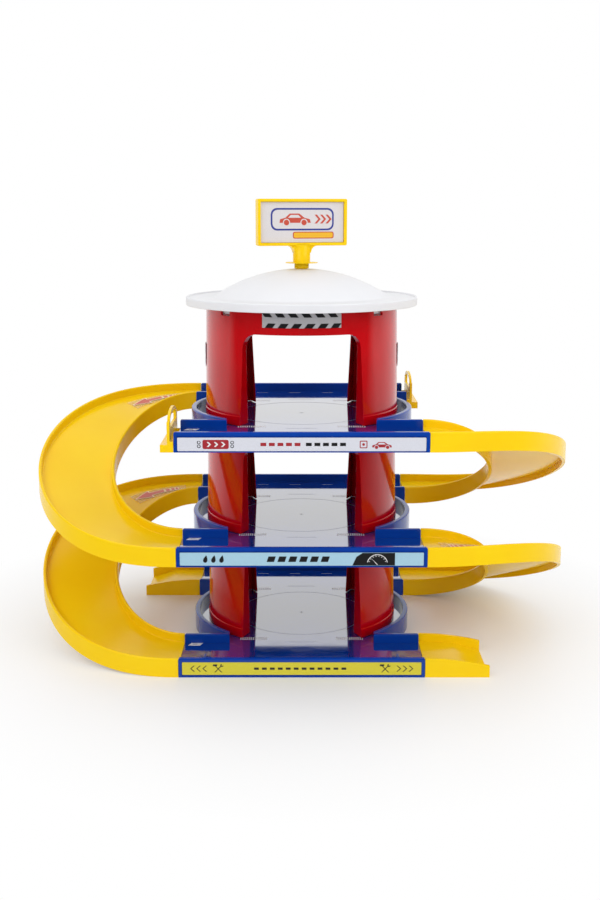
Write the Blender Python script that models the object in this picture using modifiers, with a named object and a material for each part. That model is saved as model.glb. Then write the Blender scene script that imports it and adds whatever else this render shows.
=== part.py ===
# Toy parking garage: three blue decks on red tower storeys, joined by yellow half-circle ramps,
# under a white domed roof that carries a swivelling sign.
# Metres, +Z up. Origin at the bottom centre; the front faces -Y. The whole toy has half-turn
# symmetry about Z, so pieces on the right are the ones on the left turned by 180 degrees.

import math

import bmesh
import bpy
from mathutils import Matrix, Vector

# Decks
TIER_PITCH = 0.0868
DECK_HALF_WIDTH = 0.093
DECK_HALF_DEPTH = 0.1237
LANE_WIDTH = 0.0554
WALL_HEIGHT = 0.015
CURB = 0.0042
SKIRT = 0.0022
ROAD_TOP = 0.008
ROAD_THICKNESS = 0.0025
DISC_RADIUS = 0.0905
CURB_END_X = 0.0575
DISC_ARC_STEPS = 16
RIM_ROUND = 0.0012
WALL_ROUND = 0.00072
LABEL_RECESS_DEPTH = 0.0008
LABEL_RECESS_BORDER = 0.0024
LABEL_RECESS_BOTTOM = 0.0008
LABEL_RECESS_TOP = 0.0122

# Tower storeys
TOWER_FOOT_RADIUS = 0.0786
TOWER_TOP_RADIUS = 0.0773
TOWER_WALL = 0.0022
PLINTH_HEIGHT = 0.007
PLINTH_STEP = 0.0005
FRONT_ARCH_HALF_FOOT = 0.0490
BACK_ARCH_HALF_FOOT = 0.0440
ARCH_HALF_TOP = 0.0458
ARCH_TOP = 0.0716
ARCH_CORNER = 0.0125
ARCH_FRAME = 0.0018
FLANGE_RADIUS_FOOT = 0.0660
FLANGE_RADIUS_TOP = 0.0722
JAMB_DEPTH = 0.0640
JAMB_TAPER = 9.5
DOORWAY_CUT_FROM = 0.040
DOORWAY_CUT_TO = 0.090
DOORWAY_CUT_BELOW = 0.010
TAB_ANGLE = math.radians(40)
TAB_WIDTH = 0.008
TAB_THICKNESS = 0.0014
TAB_DROP = 0.0045
NOTCH_WIDTH = 0.011
NOTCH_HEIGHT = 0.005

# Roof
TOP_STOREY_EXTRA = 0.0056
ROOF_RADIUS = 0.0935
BRIM_BAND = 0.0066
BRIM_LIP = 0.0022
BRIM_LIP_RISE = 0.0012
DOME_RADIUS = 0.0723
DOME_RISE = 0.0228
ROOF_SHEET = 0.0020
SLEEVE_DEPTH = 0.0040
SOCKET_BORE = 0.0051
SOCKET_BOSS = 0.0085
SOCKET_DEPTH = 0.0055
ROOF_STEPS = 42

# Sign
SIGN_TURN = math.radians(16)
SIGN_WIDTH = 0.0740
SIGN_HEIGHT = 0.0368
SIGN_DEPTH = 0.0088
SIGN_BORDER = 0.0023
SIGN_RECESS = 0.0026
SIGN_BOTTOM = 0.3180
SIGN_CORNER = 0.0012
POST_RADIUS = 0.0070
POST_FLARE = 0.0055
FLARE_HALF_THICKNESS = 0.0035
NECK_RADIUS = 0.0058
SPIGOT_RADIUS = 0.0047
SNAP_RADIUS = 0.0057
SNAP_RIM = 0.0010
SNAP_HEIGHT = 0.0040
SNAP_TIP_STEP = 0.0008
SLIT_HALF_WIDTH = 0.0006
SLIT_REACH = 0.010
SLIT_TOP = 0.0030
COLLAR_RADIUS = 0.0130
COLLAR_THICKNESS = 0.0006
COLLAR_HEIGHT = 0.3042

# Ramps, exit ramps and end stops
RAMP_WALL = 0.0026
RAMP_STEPS = 24
RAMP_WIDENING = 0.0062
OUTER_DELAY = 1.08
INNER_DELAY = 0.94
TONGUE_WIDTH = 0.010
TONGUE_LENGTH = 0.006
TONGUE_ROOT = 0.007
TONGUE_OFFSET = 0.012
TONGUE_BOTTOM = 0.0018
TONGUE_TOP = 0.0047
EXIT_LENGTH = 0.0487
EXIT_FLAT = 0.0260
EXIT_TIP_WALL = 0.0090
EXIT_TIP_FLOOR = 0.0008
EXIT_HOLLOW_RUN = 0.013
STOP_LENGTH = 0.0097
STOP_HEIGHT = 0.0080
STOP_LEDGE = 0.0056
STOP_FLOOR_DROP = 0.0015
GATE_POSITION = 0.0035
GATE_THICKNESS = 0.0020
GATE_SHOULDER = 0.0224
GATE_TOP = 0.0292
GATE_ARCH_HALF_WIDTH = 0.0225
GATE_BAND = 0.0030
GATE_SILL = 0.0172
GATE_ARC_STEPS = 12

# Labels
LABEL_THICKNESS = 0.0003
FASCIA_LABEL_HEIGHT = 0.0100
FASCIA_LABEL_BOTTOMS = (0.0020, 0.0012, 0.0010)
LINTEL_LABEL_HALF_ANGLE = math.radians(22.5)
LINTEL_LABEL_BOTTOM = 0.0855
LINTEL_LABEL_TOP = 0.0970
SIDE_LABEL_HALF_ANGLE = math.radians(7.5)
SIDE_LABEL_BOTTOM = 0.0400
SIDE_LABEL_TOP = 0.0580
ARROW_LABEL_WIDTH = 0.020
ARROW_LABEL_STEPS = 4

GAP = 0.0003
FULL_TURN_STEPS = 48
CLEAR = 0.001
MERGE = 1e-6
SHARP_ANGLE = math.radians(35)

LANE_OUTER = DECK_HALF_DEPTH
LANE_INNER = DECK_HALF_DEPTH - LANE_WIDTH
LANE_MIDDLE = DECK_HALF_DEPTH - LANE_WIDTH / 2
ROAD_BOTTOM = ROAD_TOP - ROAD_THICKNESS
STOREY_FOOT = ROAD_TOP + GAP
STOREY_HEIGHT = TIER_PITCH + ROAD_BOTTOM - GAP - STOREY_FOOT
TOP_STOREY_HEIGHT = STOREY_HEIGHT + TOP_STOREY_EXTRA
ROOF_BOTTOM = 2 * TIER_PITCH + STOREY_FOOT + TOP_STOREY_HEIGHT + GAP
BRIM_TOP = ROOF_BOTTOM + BRIM_BAND
BRIM_PLATE = BRIM_TOP - BRIM_LIP_RISE
DOME_TOP = BRIM_PLATE + DOME_RISE

TIERS = ("lower", "middle", "upper")
BLUE = ("blue_plastic", (0.0, 0.055, 0.330), 0.12)
RED = ("red_plastic", (0.480, 0.0, 0.006), 0.12)
YELLOW = ("yellow_plastic", (0.950, 0.480, 0.004), 0.22)
WHITE = ("white_plastic", (0.870, 0.880, 0.890), 0.30)
LABEL_PALE = ("pale_label", (0.680, 0.700, 0.780), 0.30)
LABEL_BLUE = ("light_blue_label", (0.380, 0.600, 0.750), 0.30)
LABEL_YELLOW = ("yellow_label", (0.700, 0.620, 0.030), 0.30)
LABEL_RED = ("red_arrow_label", (0.700, 0.120, 0.080), 0.30)
SIGN_PALE = ("sign_label", (0.720, 0.680, 0.690), 0.30)


def clear_scene():
    for obj in list(bpy.data.objects):
        bpy.data.objects.remove(obj, do_unlink=True)


def new_collection(name):
    collection = bpy.data.collections.new(name)
    bpy.context.scene.collection.children.link(collection)
    return collection


def finish(style):
    name, colour, roughness = style
    material = bpy.data.materials.get(name)
    if material:
        return material
    material = bpy.data.materials.new(name)
    material.use_nodes = True
    shader = material.node_tree.nodes["Principled BSDF"]
    shader.inputs["Base Color"].default_value = (*colour, 1.0)
    shader.inputs["Roughness"].default_value = roughness
    shader.inputs["Metallic"].default_value = 0.0
    material.diffuse_color = (*colour, 1.0)
    return material


def helper(name, mesh):
    # A shape that only cuts or joins another one
    obj = bpy.data.objects.new(name, mesh)
    CUTTERS.objects.link(obj)
    obj.hide_render = True
    obj.display_type = "WIRE"
    return obj


def cleaned(bm, name):
    bmesh.ops.remove_doubles(bm, verts=bm.verts, dist=MERGE)
    bmesh.ops.recalc_face_normals(bm, faces=bm.faces)
    mesh = bpy.data.meshes.new(name)
    bm.to_mesh(mesh)
    bm.free()
    return mesh


def box(name, low, high):
    bm = bmesh.new()
    size = Vector(high) - Vector(low)
    middle = (Vector(high) + Vector(low)) / 2
    bmesh.ops.create_cube(bm, size=1.0, matrix=Matrix.Translation(middle) @ Matrix.Diagonal((*size, 1.0)))
    return cleaned(bm, name)


def joined(name, meshes):
    # Separate solids kept in one mesh
    bm = bmesh.new()
    for mesh in meshes:
        bm.from_mesh(mesh)
    return cleaned(bm, name)


def turned(mesh, matrix):
    copy = mesh.copy()
    copy.transform(matrix)
    return copy


def half_turn(mesh):
    return turned(mesh, Matrix.Rotation(math.pi, 4, "Z"))


def flat_solid(name, points, low, high):
    # A flat outline in the XY plane, given a thickness from low to high along Z
    curve = bpy.data.curves.new(name, "CURVE")
    curve.dimensions = "2D"
    curve.fill_mode = "BOTH"
    curve.extrude = (high - low) / 2
    spline = curve.splines.new("POLY")
    spline.points.add(len(points) - 1)
    for point, (x, y) in zip(spline.points, points):
        point.co = (x, y, 0.0, 1.0)
    spline.use_cyclic_u = True
    obj = bpy.data.objects.new(name, curve)
    CUTTERS.objects.link(obj)
    bpy.context.view_layer.update()
    graph = bpy.context.evaluated_depsgraph_get()
    mesh = bpy.data.meshes.new_from_object(obj.evaluated_get(graph))
    bpy.data.objects.remove(obj, do_unlink=True)
    bpy.data.curves.remove(curve)
    mesh.transform(Matrix.Translation((0, 0, (high + low) / 2)))
    bm = bmesh.new()
    bm.from_mesh(mesh)
    bmesh.ops.remove_doubles(bm, verts=bm.verts, dist=MERGE)
    bmesh.ops.dissolve_limit(bm, angle_limit=0.001, verts=bm.verts, edges=bm.edges)
    return cleaned(bm, name)


def lofted(name, outlines):
    # A closed solid through outlines of equally many points, each a (points, height) pair
    bm = bmesh.new()
    rings = [[bm.verts.new((x, y, height)) for x, y in points] for points, height in outlines]
    count = len(rings[0])
    for below, above in zip(rings, rings[1:]):
        for i in range(count):
            j = (i + 1) % count
            bm.faces.new((below[i], below[j], above[j], above[i]))
    bm.faces.new(list(reversed(rings[0])))
    bm.faces.new(rings[-1])
    return cleaned(bm, name)


def standing(mesh):
    # Turns an XY outline into an XZ one; its thickness then runs along Y
    return turned(mesh, Matrix.Rotation(math.pi / 2, 4, "X"))


def lathe(name, profile, steps=FULL_TURN_STEPS, loop=True):
    # A (radius, height) profile turned about Z: a closed loop, or a line that starts and ends on the axis
    mesh = bpy.data.meshes.new(name)
    count = len(profile)
    edges = [(i, (i + 1) % count) for i in range(count if loop else count - 1)]
    mesh.from_pydata([(r, 0.0, z) for r, z in profile], edges, [])
    obj = bpy.data.objects.new(name, mesh)
    CUTTERS.objects.link(obj)
    screw = obj.modifiers.new("turn", "SCREW")
    screw.axis = "Z"
    screw.steps = steps
    screw.render_steps = steps
    screw.use_merge_vertices = True
    screw.merge_threshold = 0.00001
    bpy.context.view_layer.update()
    graph = bpy.context.evaluated_depsgraph_get()
    made = bpy.data.meshes.new_from_object(obj.evaluated_get(graph))
    bpy.data.objects.remove(obj, do_unlink=True)
    bm = bmesh.new()
    bm.from_mesh(made)
    return cleaned(bm, name)


def widening(share):
    return RAMP_WIDENING * math.sin(math.pi * share)


def swept(name, section, start, sweep, steps, lower=None):
    # A closed (radius, height) section swept about Z from the start angle. lower(t, radius) drops it on
    # the way, and the inner half then swings in, so that the road is widest half way round
    bm = bmesh.new()
    turn = Matrix.Rotation(start, 4, "Z")
    ring = [bm.verts.new(turn @ Vector((r, 0.0, z))) for r, z in section]
    face = bm.faces.new(ring)
    geometry = [face, *face.edges, *face.verts]
    bmesh.ops.spin(
        bm, geom=geometry, cent=(0, 0, 0), axis=(0, 0, 1), angle=sweep, steps=steps, use_duplicate=False
    )
    if lower:
        direction = math.copysign(1, sweep)
        for vert in bm.verts:
            angle = (math.atan2(vert.co.y, vert.co.x) - start) * direction
            angle = (angle + math.radians(1)) % (2 * math.pi) - math.radians(1)
            share = angle / abs(sweep)
            radius = vert.co.xy.length
            if radius < LANE_MIDDLE - ARROW_LABEL_WIDTH:
                vert.co.xy *= 1 - widening(share) / radius
            vert.co.z -= lower(share, vert.co.xy.length)
        leaning = [face for face in bm.faces if len(face.verts) == 4]
        bmesh.ops.triangulate(bm, faces=leaning, quad_method="SHORT_EDGE")
    return cleaned(bm, name)


def combine(obj, operation, other):
    modifier = obj.modifiers.new(other.name, "BOOLEAN")
    modifier.operation = operation
    modifier.solver = "EXACT"
    modifier.object = other


def baked(name, obj):
    # The finished mesh of a piece that several objects share
    bpy.context.view_layer.update()
    graph = bpy.context.evaluated_depsgraph_get()
    mesh = bpy.data.meshes.new_from_object(obj.evaluated_get(graph))
    mesh.name = name
    return mesh


def add_piece(name, mesh, style, place=(0.0, 0.0, 0.0), turn=0.0):
    mesh.materials.clear()
    mesh.materials.append(finish(style))
    mesh.shade_smooth()
    mesh.set_sharp_from_angle(angle=SHARP_ANGLE)
    obj = bpy.data.objects.new(name, mesh)
    PARTS.objects.link(obj)
    obj.location = place
    obj.rotation_euler = (0.0, 0.0, turn)
    return obj


def arc(centre, radius, start, end, count):
    points = []
    for i in range(count + 1):
        angle = start + (end - start) * i / count
        points.append((centre[0] + radius * math.cos(angle), centre[1] + radius * math.sin(angle)))
    return points


def deck_outline(end_x, outer, inner, radius, curb_end=None):
    # Two lanes joined by a disc. With curb_end the disc's arcs stop at that X, where the curbs end
    reach = curb_end or math.sqrt(radius**2 - inner**2)
    tilt = math.acos(reach / radius)
    right = arc((0, 0), radius, -tilt, tilt, DISC_ARC_STEPS)
    left = [(-x, -y) for x, y in right]
    lead_in = [(reach, -inner)] if curb_end else []
    lead_out = [(reach, inner)] if curb_end else []
    half = [(-end_x, -outer), (end_x, -outer), (end_x, -inner), *lead_in, *right, *lead_out, (end_x, inner)]
    mirrored = [(-x, -y) for x, y in lead_in] + left + [(-x, -y) for x, y in lead_out]
    return half + [(end_x, outer), (-end_x, outer), (-end_x, inner), *mirrored, (-end_x, -inner)]


def rounded_deck_outline(inset, height):
    points = deck_outline(
        DECK_HALF_WIDTH - inset, LANE_OUTER - inset, LANE_INNER + inset, DISC_RADIUS - inset
    )
    return points, height


def deck_slab():
    shoulder = WALL_HEIGHT - RIM_ROUND
    outlines = [rounded_deck_outline(0.0, 0.0), rounded_deck_outline(0.0, shoulder)]
    for step in (1, 2):
        angle = math.pi / 4 * step
        inset = RIM_ROUND * (1 - math.cos(angle))
        outlines.append(rounded_deck_outline(inset, shoulder + RIM_ROUND * math.sin(angle)))
    return lofted("deck_slab", outlines)


def road_outline(inset, height):
    points = deck_outline(
        DECK_HALF_WIDTH + CLEAR,
        LANE_OUTER - inset,
        LANE_INNER + inset,
        DISC_RADIUS - inset,
        CURB_END_X + CURB - inset,
    )
    return points, height


def around_tower(mesh):
    # Four copies of a shape, one for each foot tab
    angles = (TAB_ANGLE, math.pi - TAB_ANGLE, math.pi + TAB_ANGLE, -TAB_ANGLE)
    return joined("around", [turned(mesh, Matrix.Rotation(a, 4, "Z")) for a in angles])


def deck_mesh():
    deck = helper("deck_blank", deck_slab())
    shoulder = WALL_HEIGHT - RIM_ROUND
    flare = CURB - RIM_ROUND
    road = lofted(
        "road_space",
        [
            road_outline(CURB, ROAD_TOP),
            road_outline(CURB, shoulder),
            road_outline(flare, WALL_HEIGHT),
            road_outline(flare, WALL_HEIGHT + CLEAR),
        ],
    )
    combine(deck, "DIFFERENCE", helper("road_space", road))
    hollow = lofted(
        "deck_hollow", [rounded_deck_outline(SKIRT, -CLEAR), rounded_deck_outline(SKIRT, ROAD_BOTTOM)]
    )
    combine(deck, "DIFFERENCE", helper("deck_hollow", hollow))
    recess = box(
        "label_recess",
        (LABEL_RECESS_BORDER - DECK_HALF_WIDTH, -LANE_OUTER - CLEAR, LABEL_RECESS_BOTTOM),
        (DECK_HALF_WIDTH - LABEL_RECESS_BORDER, LABEL_RECESS_DEPTH - LANE_OUTER, LABEL_RECESS_TOP),
    )
    combine(deck, "DIFFERENCE", helper("label_recesses", joined("recesses", [recess, half_turn(recess)])))
    notches = []
    for offset in (-TONGUE_OFFSET, TONGUE_OFFSET):
        for side in (-1, 1):
            middle = side * LANE_MIDDLE + offset
            half = TONGUE_WIDTH / 2 + GAP
            low = (DECK_HALF_WIDTH - 2 * SKIRT, middle - half, -CLEAR)
            notches.append(box("notch", low, (DECK_HALF_WIDTH + CLEAR, middle + half, ROAD_BOTTOM - GAP)))
    notches += [half_turn(notch) for notch in notches]
    combine(deck, "DIFFERENCE", helper("tongue_notches", joined("notches", notches)))
    ring_radius = TOWER_TOP_RADIUS + 2 * GAP
    ring = [
        (ring_radius, TONGUE_BOTTOM),
        (ring_radius, ROAD_BOTTOM + CLEAR),
        (ring_radius + SKIRT, ROAD_BOTTOM + CLEAR),
        (ring_radius + SKIRT, TONGUE_BOTTOM),
    ]
    combine(deck, "UNION", helper("locating_ring", lathe("locating_ring", ring)))
    tab_radius = TOWER_FOOT_RADIUS - TOWER_WALL / 2
    half = (TAB_THICKNESS / 2 + GAP, TAB_WIDTH / 2 + GAP)
    slot = box(
        "slot",
        (tab_radius - half[0], -half[1], -CLEAR),
        (tab_radius + half[0], half[1], ROAD_TOP + CLEAR),
    )
    combine(deck, "DIFFERENCE", helper("tab_slots", around_tower(slot)))
    return baked("deck", deck)


def tower_radius(height, storey_height):
    return TOWER_FOOT_RADIUS + (TOWER_TOP_RADIUS - TOWER_FOOT_RADIUS) * height / storey_height


def arch_prism(half_foot, grow):
    # A doorway at the front, whose sides close in towards the tower's middle
    half_foot += grow
    half_top = ARCH_HALF_TOP + grow
    top = ARCH_TOP + grow
    corner = ARCH_CORNER + grow
    right = arc((half_top - corner, top - corner), corner, 0.0, math.pi / 2, 5)
    left = [(-x, z) for x, z in reversed(right)]
    below = -DOORWAY_CUT_BELOW
    outline = [(-half_foot, below), (half_foot, below), *right, *left]
    mesh = standing(flat_solid("doorway", outline, DOORWAY_CUT_FROM, DOORWAY_CUT_TO))
    for vert in mesh.vertices:
        vert.co.x *= 1 + JAMB_TAPER * (abs(vert.co.y) - JAMB_DEPTH)
    return mesh


def doorways(grow):
    # The front doorway is wider at its foot than the back one
    front = arch_prism(FRONT_ARCH_HALF_FOOT, grow)
    back = half_turn(arch_prism(BACK_ARCH_HALF_FOOT, grow))
    return joined("doorways", [front, back])


def storey_mesh(height):
    outer = [
        (TOWER_FOOT_RADIUS + PLINTH_STEP, 0.0),
        (tower_radius(PLINTH_HEIGHT, height) + PLINTH_STEP, PLINTH_HEIGHT),
        (tower_radius(PLINTH_HEIGHT, height), PLINTH_HEIGHT + PLINTH_STEP),
        (TOWER_TOP_RADIUS, height),
    ]
    inner = [(TOWER_TOP_RADIUS - TOWER_WALL, height), (TOWER_FOOT_RADIUS - TOWER_WALL, 0.0)]
    storey = helper("storey_shell", lathe("storey_shell", outer + inner))
    bury = TOWER_WALL / 3
    flange_top = ARCH_TOP + 2 * ARCH_FRAME
    flange = [
        (TOWER_FOOT_RADIUS - bury, GAP),
        (TOWER_TOP_RADIUS - bury, flange_top),
        (FLANGE_RADIUS_TOP, flange_top),
        (FLANGE_RADIUS_FOOT, GAP),
    ]
    frame = helper("storey_frame", lathe("storey_frame", flange))
    combine(frame, "INTERSECT", helper("wide_doorways", doorways(ARCH_FRAME)))
    combine(storey, "UNION", frame)
    combine(storey, "DIFFERENCE", helper("doorways", doorways(0.0)))
    notch = box(
        "notch",
        (TOWER_TOP_RADIUS - 2 * TOWER_WALL, -NOTCH_WIDTH / 2, height - NOTCH_HEIGHT),
        (TOWER_TOP_RADIUS + CLEAR, NOTCH_WIDTH / 2, height + CLEAR),
    )
    combine(storey, "DIFFERENCE", helper("top_notches", around_tower(notch)))
    tab_radius = TOWER_FOOT_RADIUS - TOWER_WALL / 2
    tab = box(
        "tab",
        (tab_radius - TAB_THICKNESS / 2, -TAB_WIDTH / 2, -TAB_DROP),
        (tab_radius + TAB_THICKNESS / 2, TAB_WIDTH / 2, PLINTH_HEIGHT / 2),
    )
    combine(storey, "UNION", helper("foot_tabs", around_tower(tab)))
    return baked("storey", storey)


def dome_arc(rise, radius, base, start_radius, count):
    # Points of a spherical cap, from near the axis out to its base
    sphere = (radius**2 + rise**2) / (2 * rise)
    centre = base + rise - sphere
    points = []
    for i in range(count + 1):
        r = start_radius + (radius - start_radius) * i / count
        points.append((r, centre + math.sqrt(sphere**2 - r**2)))
    return points


def roof_mesh():
    top = dome_arc(DOME_RISE, DOME_RADIUS, BRIM_PLATE, SOCKET_BORE, 7)
    under = dome_arc(DOME_RISE, DOME_RADIUS, BRIM_PLATE, SOCKET_BOSS, 5)
    sleeve = TOWER_TOP_RADIUS - TOWER_WALL - 2 * GAP
    profile = [
        *top,
        (ROOF_RADIUS - BRIM_LIP, BRIM_PLATE),
        (ROOF_RADIUS - BRIM_LIP + BRIM_LIP_RISE / 2, BRIM_TOP),
        (ROOF_RADIUS - BRIM_LIP_RISE / 2, BRIM_TOP),
        (ROOF_RADIUS, BRIM_TOP - BRIM_LIP_RISE),
        (ROOF_RADIUS, ROOF_BOTTOM),
        (ROOF_RADIUS - ROOF_SHEET, ROOF_BOTTOM),
        (ROOF_RADIUS - ROOF_SHEET, BRIM_PLATE - ROOF_SHEET),
        (TOWER_TOP_RADIUS + SKIRT, BRIM_PLATE - ROOF_SHEET),
        (TOWER_TOP_RADIUS + SKIRT, ROOF_BOTTOM),
        (sleeve, ROOF_BOTTOM),
        (sleeve, ROOF_BOTTOM - SLEEVE_DEPTH),
        (sleeve - ROOF_SHEET, ROOF_BOTTOM - SLEEVE_DEPTH),
        (sleeve - ROOF_SHEET, BRIM_PLATE - ROOF_SHEET),
        *[(r, z - ROOF_SHEET) for r, z in reversed(under)],
        (SOCKET_BOSS, DOME_TOP - SOCKET_DEPTH),
        (SOCKET_BORE, DOME_TOP - SOCKET_DEPTH),
    ]
    return lathe("roof", profile, ROOF_STEPS)


def sign_frame_mesh():
    half = SIGN_WIDTH / 2
    c = SIGN_CORNER
    top = SIGN_BOTTOM + SIGN_HEIGHT
    corners = [(half - c, SIGN_BOTTOM + c, -0.5), (half - c, top - c, 0.0)]
    corners += [(c - half, top - c, 0.5), (c - half, SIGN_BOTTOM + c, 1.0)]
    outline = []
    for x, z, start in corners:
        outline += arc((x, z), c, start * math.pi, (start + 0.5) * math.pi, 2)
    board = standing(flat_solid("board", outline, -SIGN_DEPTH / 2, SIGN_DEPTH / 2))
    frame = helper("sign_board", board)
    recess = box(
        "sign_recess",
        (SIGN_BORDER - half, -SIGN_DEPTH / 2 - CLEAR, SIGN_BOTTOM + SIGN_BORDER),
        (half - SIGN_BORDER, SIGN_RECESS - SIGN_DEPTH / 2, top - SIGN_BORDER),
    )
    combine(frame, "DIFFERENCE", helper("sign_recesses", joined("recesses", [recess, half_turn(recess)])))
    right = arc((POST_RADIUS + POST_FLARE, SIGN_BOTTOM - POST_FLARE), POST_FLARE, math.pi, math.pi / 2, 5)
    left = [(-x, z) for x, z in reversed(right)]
    root = SIGN_BOTTOM + CLEAR / 2
    gusset = [*right, (right[-1][0], root), (left[0][0], root), *left]
    flare = flat_solid("flare", gusset, -FLARE_HALF_THICKNESS, FLARE_HALF_THICKNESS)
    combine(frame, "UNION", helper("post_flare", standing(flare)))
    seat = DOME_TOP + GAP
    boss_end = DOME_TOP - SOCKET_DEPTH - GAP
    post = [
        (0.0, root),
        (POST_RADIUS, root),
        (POST_RADIUS, COLLAR_HEIGHT + COLLAR_THICKNESS),
        (COLLAR_RADIUS, COLLAR_HEIGHT + COLLAR_THICKNESS),
        (COLLAR_RADIUS, COLLAR_HEIGHT),
        (NECK_RADIUS, COLLAR_HEIGHT),
        (NECK_RADIUS, seat),
        (SPIGOT_RADIUS, seat),
        (SPIGOT_RADIUS, boss_end),
        (SNAP_RADIUS, boss_end),
        (SNAP_RADIUS, boss_end - SNAP_RIM),
        (SPIGOT_RADIUS - SNAP_TIP_STEP, boss_end - SNAP_HEIGHT),
        (0.0, boss_end - SNAP_HEIGHT),
    ]
    combine(frame, "UNION", helper("sign_post", lathe("sign_post", post, 24, loop=False)))
    slit = box(
        "slit",
        (-SLIT_HALF_WIDTH, -SLIT_REACH, boss_end - SLIT_REACH),
        (SLIT_HALF_WIDTH, SLIT_REACH, boss_end + SLIT_TOP),
    )
    combine(frame, "DIFFERENCE", helper("snap_slit", slit))
    return baked("sign_frame", frame)


def ramp_drop(t, radius):
    # How far down the ramp has come after the share t of its half circle: level at both ends. The inner
    # wall comes down sooner than the outer one, so that the road leans inwards on the way
    u = max(t, 0.0) ** OUTER_DELAY
    v = max(t, 0.0) ** INNER_DELAY
    outer_drop = TIER_PITCH * (10 * u**3 - 15 * u**4 + 6 * u**5)
    inner_drop = TIER_PITCH * (3 * v**2 - 2 * v**3)
    inner = LANE_INNER - widening(t)
    across = (radius - inner) / (LANE_OUTER - inner)
    return inner_drop + (outer_drop - inner_drop) * across


def wall_top(outer, inner):
    # The rounded top of a wall between two radii, from the first radius to the second
    side = math.copysign(WALL_ROUND, inner - outer)
    return [
        (outer, WALL_HEIGHT - WALL_ROUND),
        (outer + side, WALL_HEIGHT),
        (inner - side, WALL_HEIGHT),
        (inner, WALL_HEIGHT - WALL_ROUND),
    ]


def tongues(direction):
    # Two tongues that reach under the neighbouring deck in the X direction, at a joint plane at X = 0
    pieces = []
    for offset in (-TONGUE_OFFSET, TONGUE_OFFSET):
        low_y = LANE_MIDDLE + offset - TONGUE_WIDTH / 2
        high_y = low_y + TONGUE_WIDTH
        reach = box("reach", (-TONGUE_ROOT, low_y, TONGUE_BOTTOM), (TONGUE_LENGTH, high_y, TONGUE_TOP))
        root = box(
            "root",
            (-TONGUE_ROOT, low_y + GAP, TONGUE_TOP - CLEAR),
            (-GAP, high_y - GAP, ROAD_BOTTOM + CLEAR),
        )
        tongue = helper("tongue_reach", reach)
        combine(tongue, "UNION", helper("tongue_root", root))
        pieces.append(baked("tongue", tongue))
    mesh = joined("tongues", pieces)
    if direction < 0:
        mesh.transform(Matrix.Scale(-1, 4, (1, 0, 0)))
        mesh.flip_normals()
    return mesh


def ramp_mesh():
    # From the deck above at +Y, round through -X, to the deck below at -Y
    inner = LANE_INNER
    outer = LANE_OUTER
    section = [
        (inner, 0.0),
        (inner + RAMP_WALL, 0.0),
        (inner + RAMP_WALL, ROAD_BOTTOM),
        (outer - RAMP_WALL, ROAD_BOTTOM),
        (outer - RAMP_WALL, 0.0),
        (outer, 0.0),
        *wall_top(outer, outer - RAMP_WALL),
        (outer - RAMP_WALL, ROAD_TOP),
        (LANE_MIDDLE + ARROW_LABEL_WIDTH / 2, ROAD_TOP),
        (LANE_MIDDLE - ARROW_LABEL_WIDTH / 2, ROAD_TOP),
        (inner + RAMP_WALL, ROAD_TOP),
        *wall_top(inner + RAMP_WALL, inner),
    ]
    sweep = swept("ramp_channel", section, math.pi / 2, math.pi, RAMP_STEPS, ramp_drop)
    ramp = helper("ramp_channel", sweep)
    top = tongues(1)
    bottom = turned(tongues(1), Matrix.Translation((0, -2 * LANE_MIDDLE, -TIER_PITCH)))
    combine(ramp, "UNION", helper("ramp_tongues", joined("ends", [top, bottom])))
    return baked("ramp", ramp)


def exit_ramp_mesh():
    # Runs from the joint plane at X = 0 out to +X, in the front lane
    curve = []
    for i in range(5):
        t = i / 4
        curve.append((EXIT_LENGTH * (1 - t), EXIT_TIP_WALL + (WALL_HEIGHT - EXIT_TIP_WALL) * t * (2 - t)))
    side = [(0.0, 0.0), (EXIT_LENGTH, 0.0), *curve]
    blank = standing(flat_solid("exit_blank", side, LANE_INNER, LANE_OUTER))
    ramp = helper("exit_blank", blank)
    past = EXIT_LENGTH + CLEAR
    above = [
        (-CLEAR, ROAD_TOP),
        (EXIT_FLAT, ROAD_TOP),
        (EXIT_LENGTH, EXIT_TIP_FLOOR),
        (past, EXIT_TIP_FLOOR),
        (past, WALL_HEIGHT + CLEAR),
        (-CLEAR, WALL_HEIGHT + CLEAR),
    ]
    space = flat_solid("exit_road", above, LANE_INNER + RAMP_WALL, LANE_OUTER - RAMP_WALL)
    combine(ramp, "DIFFERENCE", helper("exit_road", standing(space)))
    below = [
        (-CLEAR, -CLEAR),
        (EXIT_FLAT + EXIT_HOLLOW_RUN, -CLEAR),
        (EXIT_FLAT, ROAD_BOTTOM),
        (-CLEAR, ROAD_BOTTOM),
    ]
    hollow = flat_solid("exit_hollow", below, LANE_INNER + RAMP_WALL, LANE_OUTER - RAMP_WALL)
    combine(ramp, "DIFFERENCE", helper("exit_hollow", standing(hollow)))
    ends = turned(tongues(-1), Matrix.Translation((0, -2 * LANE_MIDDLE, 0)))
    combine(ramp, "UNION", helper("exit_tongues", ends))
    return baked("exit_ramp", ramp)


def half_oval(half, foot, top):
    # From the right end of the foot line, over the top, to the left end
    points = []
    for i in range(GATE_ARC_STEPS + 1):
        angle = math.pi * i / GATE_ARC_STEPS
        points.append((half * math.cos(angle), foot + (top - foot) * math.sin(angle)))
    return points


def gate_outline():
    # A plate as wide as the lane, with a narrower arch on it
    half = LANE_WIDTH / 2
    arch = half_oval(GATE_ARCH_HALF_WIDTH, GATE_SHOULDER, GATE_TOP)
    return [(-half, 0.0), (half, 0.0), (half, GATE_SHOULDER), *arch, (-half, GATE_SHOULDER)]


def gate_window():
    half = GATE_ARCH_HALF_WIDTH - GATE_BAND
    return [(-half, GATE_SILL), (half, GATE_SILL), *half_oval(half, GATE_SHOULDER, GATE_TOP - GATE_BAND)]


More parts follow.
